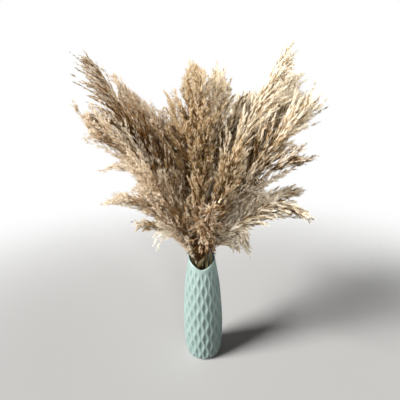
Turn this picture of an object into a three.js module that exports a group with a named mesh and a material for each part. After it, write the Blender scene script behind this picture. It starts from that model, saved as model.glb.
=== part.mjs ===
import * as THREE from 'three';

// A bundle of dried pampas grass standing in a ceramic vase.
// Millimetres, +Z up, +Y to the back. The origin is the middle of the vase's foot,
// on the surface that it stands on.

// ---------------------------------------------------------------- dimensions
// outer wall of the vase as [radius, height], without its relief
const VASE_OUTER = [
  [31.4, 1.3], [34.2, 4.6], [36.5, 10.5], [38.2, 18], [39.9, 32], [41.1, 48], [41.9, 68], [41.7, 90],
  [40.8, 112], [39.4, 133], [38.0, 155], [36.4, 170], [34.3, 185], [32.2, 197], [29.8, 212], [27.9, 226], [26.9, 240],
];
const FOOT_RADIUS = 28;          // flat ring and disc that the vase stands on
const FLOOR_THICKNESS = 6.4;     // inside bottom above the foot
const WALL = 3.2;                // wall thickness at the body
const LIP = 2.4;                 // wall thickness at the rim
const RIM_FRONT = 211;           // lowest point of the slanted mouth
const RIM_RISE = 26;             // how much higher the mouth is at the back
const RIM_TILT = 0.08;           // the left side of the rim is a little higher than the right
const RIM_BEND = 186;            // below this height the rows of the wall lie level
const SEGMENTS = 56;             // 4 for each of the 14 columns of dimples
const COLUMNS = 14;              // columns of dimples round the vase, with 14 more between them
const COLUMN_PHASE = 6.2;        // degrees from the front to the first column
const ROW_PITCH = 35.7;          // height of one dimple
const ROW_PHASE = 22.4;          // height of the first row's centres
const DIMPLE_DEPTH = 1.25;

const STEM_RADIUS = 1.4;         // cut dried reed stalks
const STEM_SIDES = 6;
const STEM_STEPS = 9;
const GAP = 0.7;                 // clear space where two pieces meet end to end
const PLUME_SIDES = 8;
const PLUME_RINGS = 12;
const PLUME_CLEARANCE = 1.1;     // kept from the middle plane between two plumes
const STEM_CLEARANCE = 0.9;      // kept from a neighbour's stalk

// The reeds. Each path runs from the cut end on the vase's bottom, out of the mouth and up
// to the plume's tip. plumeFrom is the height where the plume starts.
const REEDS = [
  { id: '01', plumeFrom: 236, halfWidth: 24, halfDepth: 14, colour: 0x94806a,
    path: [[9.5, -18.2, 7], [-0.2, -12.8, 78], [-10, -7.5, 148.9], [-20, -2, 222], [-35.3, -3.2, 304.7], [-60.1, -4.5, 367.3], [-89, -6.1, 430.5], [-118.3, -7.7, 488.5], [-144.5, -9.2, 540], [-168, -10.7, 585.7], [-191.8, -12, 618.3]] },
  { id: '02', plumeFrom: 250, halfWidth: 22, halfDepth: 14, colour: 0x94806a,
    path: [[-1.4, -13.8, 7], [-4.9, -7.1, 78], [-8.4, -0.5, 148.9], [-12, 6.3, 222], [-12.9, 8, 240], [-23.5, 16.1, 315.1], [-41.9, 25.5, 380.3], [-69.9, 36.1, 444.2], [-101.9, 46.2, 499.2], [-133.8, 55.6, 545.9], [-167.4, 66, 596]] },
  { id: '03', plumeFrom: 232, halfWidth: 22, halfDepth: 14, colour: 0x94806a,
    path: [[16.4, -12.1, 7], [5.4, -11.5, 78], [-5.6, -11, 148.9], [-17, -10.5, 222], [-38.9, -16.4, 299], [-70.2, -23.3, 360.4], [-106.4, -31.3, 418.1], [-140.9, -38.8, 461.2], [-172.6, -45.6, 493.3], [-201.4, -52, 520.5]] },
  { id: '04', plumeFrom: 246, halfWidth: 13, halfDepth: 9, colour: 0x94806a,
    path: [[2.1, -20.1, 7], [-4.9, -11.6, 78], [-11.8, -3.2, 148.9], [-19, 5.5, 222], [-20.8, 7.6, 240], [-40.3, 6.6, 292.9], [-64.5, 7.7, 339.7], [-92.2, 8.9, 381], [-122, 10, 407.5], [-152.4, 10.9, 419.9], [-190.6, 12, 410.8]] },
  { id: '05', plumeFrom: 230, halfWidth: 14, halfDepth: 10, colour: 0x94806a,
    path: [[20.5, -4.4, 7], [9.9, -8.5, 78], [-0.6, -12.7, 148.9], [-11.5, -17, 222], [-31.6, -24.1, 274.6], [-58.3, -32.8, 315.5], [-89.3, -42.2, 346.8], [-119.5, -50.8, 365.1], [-146.3, -58.1, 369.6], [-173.2, -66, 363.3]] },
  { id: '06', plumeFrom: 250, halfWidth: 11, halfDepth: 9, colour: 0x94806a,
    path: [[-7.2, -18.9, 7], [-9.6, -8.2, 78], [-12, 2.5, 148.9], [-14.5, 13.5, 222], [-15.1, 16.2, 240], [-19.3, 17.4, 250.7], [-41.9, 21.5, 269.9], [-71, 26.5, 284.4], [-102.9, 31.8, 290], [-140.1, 38, 288.8]] },
  { id: '07', plumeFrom: 252, halfWidth: 16, halfDepth: 12, colour: 0x8f7350,
    path: [[-9.4, -9.3, 7], [-8, -2.3, 78], [-6.5, 4.8, 148.9], [-5, 12, 222], [-4.6, 13.8, 240], [-13.3, 17.9, 314.2], [-19.6, 22.8, 380.3], [-29.7, 28.1, 440.1], [-39.7, 33.5, 494.2], [-50.2, 37, 526.5], [-60.8, 40, 552.7]] },
  { id: '08', plumeFrom: 244, halfWidth: 22, halfDepth: 16, colour: 0x8f7350,
    path: [[2.5, -3.4, 7], [0.3, -2.6, 78], [-1.8, -1.8, 148.9], [-4, -1, 222], [-7.1, -3.2, 316.6], [-7.1, -5.5, 389.9], [-7, -8, 460.4], [-5.3, -10.6, 522.9], [-5.9, -12.4, 563.6], [-11.8, -14, 597.9]] },
  { id: '09', plumeFrom: 252, halfWidth: 20, halfDepth: 15, colour: 0x8f7350,
    path: [[-6.6, 0.1, 7], [-3.6, 2, 78], [-0.6, 4, 148.9], [2.5, 6, 222], [3.3, 6.5, 240], [7.2, 14, 319.2], [16.9, 22.4, 391.8], [28.3, 31.9, 465.8], [37.2, 40.2, 526.4], [41.9, 46.6, 570.9], [38.7, 52, 607.7]] },
  { id: '10', plumeFrom: 256, halfWidth: 18, halfDepth: 14, colour: 0x8f7350,
    path: [[-15.6, -0.8, 7], [-8.8, 4.2, 78], [-2, 9.3, 148.9], [5, 14.5, 222], [6.7, 15.8, 240], [11.5, 31.9, 309.2], [30.2, 54.9, 372.4], [53.3, 76.7, 432.5], [76.6, 97.1, 489.4], [95.3, 111.7, 528.5], [109.4, 122, 555.4]] },
  { id: '11', plumeFrom: 246, halfWidth: 24, halfDepth: 15, colour: 0xc4b08a,
    path: [[-3, 11.4, 7], [1.8, 7.2, 78], [6.6, 2.9, 148.9], [11.5, -1.5, 222], [12.6, -1.3, 302.8], [37.2, -1, 368], [64.4, -0.8, 435.5], [92, -0.6, 499.4], [118.4, -0.3, 549.7], [144, -0.2, 591.3], [167.2, 0, 625.1]] },
  { id: '12', plumeFrom: 254, halfWidth: 20, halfDepth: 14, colour: 0xc4b08a,
    path: [[-11.5, 8, 7], [-3.9, 7.8, 78], [3.7, 7.7, 148.9], [11.5, 7.5, 222], [13.4, 7.5, 240], [17.1, 15, 299.3], [52.9, 23.2, 361.9], [96.1, 34.4, 436.3], [136.5, 44.9, 497.4], [174.5, 54.4, 548.1], [208.3, 62, 583.3]] },
  { id: '13', plumeFrom: 242, halfWidth: 22, halfDepth: 14, colour: 0xc4b08a,
    path: [[-5, 20.5, 7], [3.4, 12.8, 78], [11.8, 5, 148.9], [20.5, -3, 222], [22.3, -3.7, 286.4], [60.3, -4.7, 346.2], [102.1, -6, 404.8], [147.3, -7.5, 460.3], [191, -8.9, 500.8], [230.6, -10, 524.3]] },
  { id: '14', plumeFrom: 240, halfWidth: 16, halfDepth: 11, colour: 0xc4b08a,
    path: [[3.8, 21.9, 7], [8.7, 10.9, 78], [13.5, -0.1, 148.9], [18.5, -11.5, 222], [21.7, -14.2, 273.4], [54.9, -20.7, 324.6], [89.8, -27.7, 371.1], [124.8, -34.3, 405.5], [165.6, -41.2, 425.6], [207.3, -48, 434.5]] },
  { id: '15', plumeFrom: 250, halfWidth: 13, halfDepth: 9, colour: 0xc4b08a,
    path: [[-13.8, 16.4, 7], [-2.6, 13.2, 78], [8.5, 9.9, 148.9], [20, 6.5, 222], [22.8, 5.7, 240], [24.5, 9.3, 252.9], [64.4, 15, 295.9], [108, 21.1, 327.3], [145.5, 25.8, 342.1], [177, 29.7, 348.8], [210.9, 34, 355.4]] },
  { id: '16', plumeFrom: 234, halfWidth: 13, halfDepth: 10, colour: 0xc4b08a,
    path: [[11.5, 17.8, 7], [11.7, 6.3, 78], [11.8, -5.2, 148.9], [12, -17, 222], [25.1, -22.6, 259.8], [57.7, -32.3, 298.1], [91.8, -43.5, 330.9], [122.5, -53.7, 350.4], [159.1, -65.3, 350.9], [197.8, -80, 332.4]] },
  { id: '17', plumeFrom: 234, halfWidth: 15, halfDepth: 12, colour: 0xa08a64,
    path: [[10.7, -6.1, 7], [4, -6.6, 78], [-2.6, -7, 148.9], [-9.5, -7.5, 222], [-6, -19.4, 280.5], [-2.8, -35.4, 334.7], [0.2, -52.8, 384.8], [4.5, -71.2, 430.6], [10, -88.9, 468.8], [16.4, -104, 497.4]] },
  { id: '18', plumeFrom: 238, halfWidth: 16, halfDepth: 12, colour: 0xa08a64,
    path: [[5.1, 12, 7], [6.4, 5, 78], [7.7, -1.9, 148.9], [9, -9, 222], [13.4, -20.5, 267.7], [25, -39.7, 319.6], [35.3, -59.2, 363.5], [44.5, -78.9, 401.9], [52.8, -96.4, 431.7], [62, -112, 454.2]] },
  { id: '19', plumeFrom: 230, halfWidth: 15, halfDepth: 12, colour: 0xa08a64,
    path: [[7, 4.5, 7], [5.2, 0.4, 78], [3.4, -3.8, 148.9], [1.5, -8, 222], [1.1, -18.9, 245.9], [3.5, -47, 283], [7.3, -76.2, 315.6], [12.1, -107.9, 346.4], [17.7, -142, 375.1]] },
  { id: '20', plumeFrom: 256, halfWidth: 18, halfDepth: 14, colour: 0x8b7860,
    path: [[-17, -9.6, 7], [-12.2, -0.2, 78], [-7.4, 9.3, 148.9], [-2.5, 19, 222], [-1.3, 21.4, 240], [-9.7, 48.1, 304.6], [-29.9, 73.9, 365.4], [-55.4, 100.5, 423.5], [-81.8, 123.4, 470.5], [-104.5, 142, 507.7]] },
  { id: '21', plumeFrom: 258, halfWidth: 18, halfDepth: 14, colour: 0x8b7860,
    path: [[-19.7, 5.2, 7], [-9.3, 8.8, 78], [1.2, 12.3, 148.9], [12, 16, 222], [14.7, 16.9, 240], [9.7, 48.7, 303.9], [37, 67, 351.9], [74, 90.3, 399.7], [112.1, 113.1, 440.1], [146.2, 132, 471.2]] },
];

// Dry leaf scraps: a centre line with the half width at its middle.
const LEAVES = [
  { id: '01', halfWidth: 3.6, thickness: 0.9, colour: 0xd8cdb4, across: [0.35, -0.75, 0.56],
    path: [[31, -71, 362.5], [34.5, -75, 369], [41.5, -76, 373], [48.5, -74, 368.5]] },
  { id: '02', halfWidth: 4.2, thickness: 0.9, colour: 0x9c9374, across: [0.82, 0.1, -0.56],
    path: [[-6.5, -20.5, 214], [-1.5, -21.2, 223], [4.5, -22.4, 232], [10.5, -24.2, 241]] },
];

// ---------------------------------------------------------------- the vase
const smooth = (a, b, x) => { const t = Math.min(1, Math.max(0, (x - a) / (b - a))); return t * t * (3 - 2 * t); };

function radiusAt(z) {
  const P = VASE_OUTER;
  if (z <= P[0][1]) return P[0][0];
  for (let i = 1; i < P.length; i++) {
    if (z <= P[i][1]) {
      const t = (z - P[i - 1][1]) / (P[i][1] - P[i - 1][1]);
      return P[i - 1][0] + (P[i][0] - P[i - 1][0]) * t;
    }
  }
  return P[P.length - 1][0];
}

// angle 0 is the front (-Y), growing towards +X
function rimHeight(angle) {
  const s = Math.sin((angle + 0.035) / 2);
  const rise = (Math.sqrt(s * s + 0.006) - 0.0775) / 0.925;
  return RIM_FRONT + RIM_RISE * rise - RIM_TILT * 27 * Math.sin(angle);
}

// staggered upright lozenge dimples, meeting in a net of low ridges
function dimple(angle, z) {
  const a = (angle * 180 / Math.PI - COLUMN_PHASE) / (360 / COLUMNS);
  const b = (z - ROW_PHASE) / ROW_PITCH;
  const da = Math.abs(a - Math.round(a)), db = Math.abs(b - Math.round(b));
  let m = 2 * (da + db);
  if (m > 1) m = 2 - m;
  const fade = smooth(0.5, 9, z) * (1 - smooth(0, 1, (z - (rimHeight(angle) - 46)) / 40));
  return DIMPLE_DEPTH * (1 - m * m) * fade;
}

function vaseGeometry() {
  const outer = [0, 1.3, 4.55];
  for (let z = ROW_PHASE - ROW_PITCH / 4; z < RIM_BEND - 1; z += ROW_PITCH / 4) outer.push(z);
  const topRows = [RIM_BEND + 8, RIM_BEND + 18, RIM_BEND + 30, RIM_BEND + 42];
  const inner = [222, 205, 188, 165, 140, 112, 84, 56, 32, 16, 9.5];
  // placeholder profile with the right number of points; each is then placed by angle
  const profile = [new THREE.Vector2(0, 0), new THREE.Vector2(FOOT_RADIUS, 0)];
  const kind = [['axis', 0], ['foot', 0]];
  for (const z of outer.slice(1)) { profile.push(new THREE.Vector2(radiusAt(z), z)); kind.push(['out', z]); }
  for (const z of topRows) { profile.push(new THREE.Vector2(radiusAt(z), z)); kind.push(['out', z]); }
  profile.push(new THREE.Vector2(26.6, 236.4)); kind.push(['lip', 0]);
  profile.push(new THREE.Vector2(25.6, 236.6)); kind.push(['lip', 1]);
  profile.push(new THREE.Vector2(24.7, 235)); kind.push(['lip', 2]);
  for (const z of inner) { profile.push(new THREE.Vector2(radiusAt(z) - WALL, z)); kind.push(['in', z]); }
  profile.push(new THREE.Vector2(20, FLOOR_THICKNESS)); kind.push(['floor', 27.5]);
  profile.push(new THREE.Vector2(0, FLOOR_THICKNESS)); kind.push(['axis', FLOOR_THICKNESS]);

  const top = RIM_BEND + 50;
  const raise = (z, rim) => (z <= RIM_BEND ? z : RIM_BEND + (z - RIM_BEND) * (rim - RIM_BEND) / (top - RIM_BEND));
  const wall = (z, rim) => WALL + 0.6 * smooth(150, 20, z) + (LIP - WALL) * smooth(rim - 30, rim, z);

  const geometry = new THREE.LatheGeometry(profile, SEGMENTS);
  const position = geometry.attributes.position;
  const rows = profile.length;
  for (let i = 0; i <= SEGMENTS; i++) {
    const angle = ((i % SEGMENTS) / SEGMENTS) * 2 * Math.PI + COLUMN_PHASE * Math.PI / 180;
    const rim = rimHeight(angle > Math.PI ? angle - 2 * Math.PI : angle);
    for (let j = 0; j < rows; j++) {
      const [what, value] = kind[j];
      let r = 0, z = 0;
      if (what === 'axis') { r = 0; z = value; }
      else if (what === 'foot') { r = FOOT_RADIUS; z = 0; }
      else if (what === 'out') { z = raise(value, rim); r = radiusAt(z) - dimple(angle, z); }
      else if (what === 'lip') {
        const edge = radiusAt(rim);
        r = [edge - 0.35, edge - 1.15, edge - LIP][value];
        z = [rim - 0.7, rim, rim - 1.1][value];
      } else if (what === 'in') { z = raise(value, rim - 2); r = radiusAt(z) - wall(z, rim); }
      else { r = value; z = FLOOR_THICKNESS; }
      if (what === 'in' && value === 9.5) { r = 31; z = 8.6; }
      // the lathe turns about its own Y axis, which becomes +Z below
      position.setXYZ(i * rows + j, r * Math.sin(angle), z, r * Math.cos(angle));
    }
  }
  // each square of the wall is split along the diagonal that lies closer to the ridges
  const index = geometry.index.array;
  for (let i = 0; i < SEGMENTS; i++) {
    const angle = ((i + 0.5) / SEGMENTS) * 2 * Math.PI + COLUMN_PHASE * Math.PI / 180;
    for (let j = 0; j < rows - 1; j++) {
      if (kind[j][0] !== 'out' || kind[j + 1][0] !== 'out') continue;
      const a = i * rows + j, b = a + rows, c = b + 1, d = a + 1;
      const r = (v) => Math.hypot(position.getX(v), position.getZ(v));
      const z = (position.getY(a) + position.getY(c)) / 2;
      const middle = radiusAt(z) - dimple(angle, z);
      if (Math.abs((r(a) + r(c)) / 2 - middle) < Math.abs((r(b) + r(d)) / 2 - middle)) {
        index.set([a, b, c, a, c, d], (i * (rows - 1) + j) * 6);
      }
    }
  }
  geometry.rotateX(Math.PI / 2);
  geometry.computeVertexNormals();
  return geometry;
}

// ---------------------------------------------------------------- the reeds
const vec = ([x, y, z]) => new THREE.Vector3(x, y, z);

const reeds = REEDS.map((reed) => {
  const curve = new THREE.CatmullRomCurve3(reed.path.map(vec));
  curve.arcLengthDivisions = 600;
  const length = curve.getLength();
  let from = 0;
  for (let i = 0; i <= 600; i++) { if (curve.getPointAt(i / 600).z >= reed.plumeFrom) { from = i / 600; break; } }
  const stem = [], plume = [];
  for (let i = 0; i <= 160; i++) {
    const u = i / 160, p = curve.getPointAt(u);
    (u <= from ? stem : plume).push([p.x, p.y, p.z]);
  }
  return { ...reed, curve, length, from, stemPoints: stem, plumePoints: plume };
});

const away = (p, points) => {
  let best = Infinity;
  for (const q of points) {
    const d = (p.x - q[0]) ** 2 + (p.y - q[1]) ** 2 + (p.z - q[2]) ** 2;
    if (d < best) best = d;
  }
  return Math.sqrt(best);
};

const leafPoints = LEAVES.map((leaf) => new THREE.CatmullRomCurve3(leaf.path.map(vec)).getPoints(16).map((p) => [p.x, p.y, p.z]));

function isFree(point, self) {
  const radial = Math.hypot(point.x, point.y);
  if (point.z < 244 && radial > 22.5) return false;
  const own = away(point, self.plumePoints);
  for (const other of reeds) {
    if (other === self) continue;
    if (away(point, other.plumePoints) < own + PLUME_CLEARANCE) return false;
    if (away(point, other.stemPoints) < STEM_RADIUS + STEM_CLEARANCE) return false;
  }
  for (let k = 0; k < LEAVES.length; k++) {
    if (away(point, leafPoints[k]) < LEAVES[k].halfWidth + 2.2) return false;
  }
  return true;
}

// half width of a plume along its length: thin at the base, full in the middle, tapering to the tip
function fullness(s) {
  return Math.max(0.1, Math.sin(Math.PI * Math.pow(Math.min(1, s * 0.985), 0.72)) ** 0.75);
}

function frameAt(curve, u) {
  const t = curve.getTangentAt(u).normalize();
  const side = new THREE.Vector3().crossVectors(t, new THREE.Vector3(0, 1, 0)).normalize();
  const depth = new THREE.Vector3().crossVectors(side, t).normalize();
  return { p: curve.getPointAt(u), side, depth };
}

// A closed body along a curve: a cylinder whose rings are carried onto the stations of the curve.
function bodyAlong(stations, sides) {
  const rings = stations.length - 1;
  const geometry = new THREE.CylinderGeometry(1, 1, 1, sides, rings);
  const position = geometry.attributes.position;
  for (let i = 0; i < position.count; i++) {
    const x = position.getX(i), y = position.getY(i), z = position.getZ(i);
    const k = Math.round((y + 0.5) * rings);
    const station = stations[k];
    const radius = Math.hypot(x, z);
    let q = station.p.clone();
    if (radius > 0.5) {
      const turn = Math.round(Math.atan2(z, x) / (2 * Math.PI) * sides + sides) % sides;
      q = station.ring[turn].clone();
    }
    position.setXYZ(i, q.x, q.y, q.z);
  }
  geometry.computeVertexNormals();
  return geometry;
}

function plumeGeometry(reed) {
  const start = reed.from + GAP / reed.length;
  const at = (s) => start + (1 - start) * Math.min(1, s);
  const reach = (s, turn) => {
    const u = at(s), { p, side, depth } = frameAt(reed.curve, u);
    const angle = turn / PLUME_SIDES * 2 * Math.PI;
    const a = Math.max(1.5, reed.halfWidth * fullness(s)), b = Math.max(1.5, reed.halfDepth * fullness(s));
    const step = side.clone().multiplyScalar(a * Math.cos(angle)).add(depth.clone().multiplyScalar(b * Math.sin(angle)));
    let low = 0.04, high = 1;
    if (isFree(p.clone().add(step), reed)) return { p, step, k: 1 };
    for (let n = 0; n < 7; n++) {
      const mid = (low + high) / 2;
      if (isFree(p.clone().addScaledVector(step, mid), reed)) low = mid; else high = mid;
    }
    return { p, step, k: low };
  };
  const share = (k) => Math.pow(k / PLUME_RINGS, 1.35);
  const stations = [];
  for (let k = 0; k <= PLUME_RINGS; k++) {
    const s = share(k);
    const before = share(Math.max(0, k - 0.5)), after = share(Math.min(PLUME_RINGS, k + 0.5));
    const ring = [];
    for (let turn = 0; turn < PLUME_SIDES; turn++) {
      const here = reach(s, turn);
      let free = here.k;
      for (const other of [before, (before + s) / 2, (after + s) / 2, after]) free = Math.min(free, reach(other, turn).k);
      const floor = Math.min(1, 1.1 / here.step.length());
      ring.push(here.p.clone().addScaledVector(here.step, Math.max(floor, free)));
    }
    stations.push({ p: reach(s, 0).p, ring });
  }
  return bodyAlong(stations, PLUME_SIDES);
}

function stemGeometry(reed) {
  const points = [];
  for (let i = 0; i <= STEM_STEPS; i++) points.push(reed.curve.getPointAt(reed.from * i / STEM_STEPS));
  const section = new THREE.Shape();
  for (let i = 0; i < STEM_SIDES; i++) {
    const a = i / STEM_SIDES * 2 * Math.PI;
    const x = STEM_RADIUS * Math.cos(a), y = STEM_RADIUS * Math.sin(a);
    if (i === 0) section.moveTo(x, y); else section.lineTo(x, y);
  }
  section.closePath();
  return new THREE.ExtrudeGeometry(section, {
    steps: STEM_STEPS, bevelEnabled: false, extrudePath: new THREE.CatmullRomCurve3(points),
  });
}

function leafGeometry(leaf) {
  const curve = new THREE.CatmullRomCurve3(leaf.path.map(vec));
  const wide = new THREE.Vector3(...leaf.across).normalize();
  const stations = [];
  const rings = 6;
  for (let k = 0; k <= rings; k++) {
    const s = k / rings, t = curve.getTangentAt(s).normalize();
    const across = wide.clone().addScaledVector(t, -wide.dot(t)).normalize();
    const normal = new THREE.Vector3().crossVectors(across, t).normalize();
    const p = curve.getPointAt(s);
    const w = leaf.halfWidth * Math.max(0.22, Math.sin(Math.PI * (0.12 + 0.82 * s)));
    const ring = [];
    for (let i = 0; i < 6; i++) {
      const a = i / 6 * 2 * Math.PI;
      ring.push(p.clone().addScaledVector(across, w * Math.cos(a)).addScaledVector(normal, leaf.thickness / 2 * Math.sin(a) - 0.12 * w * Math.abs(Math.cos(a))));
    }
    stations.push({ p, ring });
  }
  return bodyAlong(stations, 6);
}

// ---------------------------------------------------------------- the assembly
const bundle = new THREE.Group();
const add = (name, geometry, colour, roughness) => {
  const mesh = new THREE.Mesh(geometry, new THREE.MeshStandardMaterial({ color: colour, roughness, metalness: 0 }));
  mesh.name = name;
  bundle.add(mesh);
};

add('vase', vaseGeometry(), 0xa3c9bd, 0.62);
for (const reed of reeds) {
  add('stem_' + reed.id, stemGeometry(reed), 0xa8955f, 0.7);
  add('plume_' + reed.id, plumeGeometry(reed), reed.colour, 0.95);
}
for (const leaf of LEAVES) add('leaf_' + leaf.id, leafGeometry(leaf), leaf.colour, 0.8);

export default bundle;
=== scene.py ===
import bpy
import math
import numpy as np
from mathutils import Matrix, Vector


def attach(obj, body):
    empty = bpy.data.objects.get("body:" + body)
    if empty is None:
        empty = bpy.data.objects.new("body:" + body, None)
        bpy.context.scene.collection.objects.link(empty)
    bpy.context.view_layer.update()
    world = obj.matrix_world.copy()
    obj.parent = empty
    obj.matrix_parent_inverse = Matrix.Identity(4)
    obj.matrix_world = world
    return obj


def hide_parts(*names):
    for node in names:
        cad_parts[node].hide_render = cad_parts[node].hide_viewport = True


# A bundle of dried pampas grass in a ceramic vase. Metres, +Z up, +Y to the back.
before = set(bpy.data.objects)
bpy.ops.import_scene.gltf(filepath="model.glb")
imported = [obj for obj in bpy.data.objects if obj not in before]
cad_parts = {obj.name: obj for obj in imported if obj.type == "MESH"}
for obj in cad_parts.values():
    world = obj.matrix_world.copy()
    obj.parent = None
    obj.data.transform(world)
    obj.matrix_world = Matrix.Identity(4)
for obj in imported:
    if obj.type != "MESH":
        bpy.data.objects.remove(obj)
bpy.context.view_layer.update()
MM = 0.001

# ------------------------------------------------------------------ camera
F_PX, PITCH, ROLL = 324.3, math.radians(15.06), math.radians(-1.40)
CAM_AT = Vector((-0.00033, -0.61719, 0.51452))


def make_camera():
    right = Vector((1, 0, 0))
    down = Vector((0, -math.sin(PITCH), -math.cos(PITCH)))
    ahead = Vector((0, math.cos(PITCH), -math.sin(PITCH)))
    c, s = math.cos(ROLL), math.sin(ROLL)
    x = right * c - down * s
    y = -(right * s + down * c)
    z = -ahead
    data = bpy.data.cameras.new("camera")
    data.sensor_fit = "HORIZONTAL"
    data.sensor_width = 36.0
    data.lens = F_PX * 36.0 / 400.0
    data.clip_start = 0.01
    data.clip_end = 50
    cam = bpy.data.objects.new("camera", data)
    m = Matrix((x, y, z)).transposed().to_4x4()
    m.translation = CAM_AT
    cam.matrix_world = m
    bpy.context.scene.collection.objects.link(cam)
    bpy.context.scene.camera = cam


make_camera()

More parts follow.
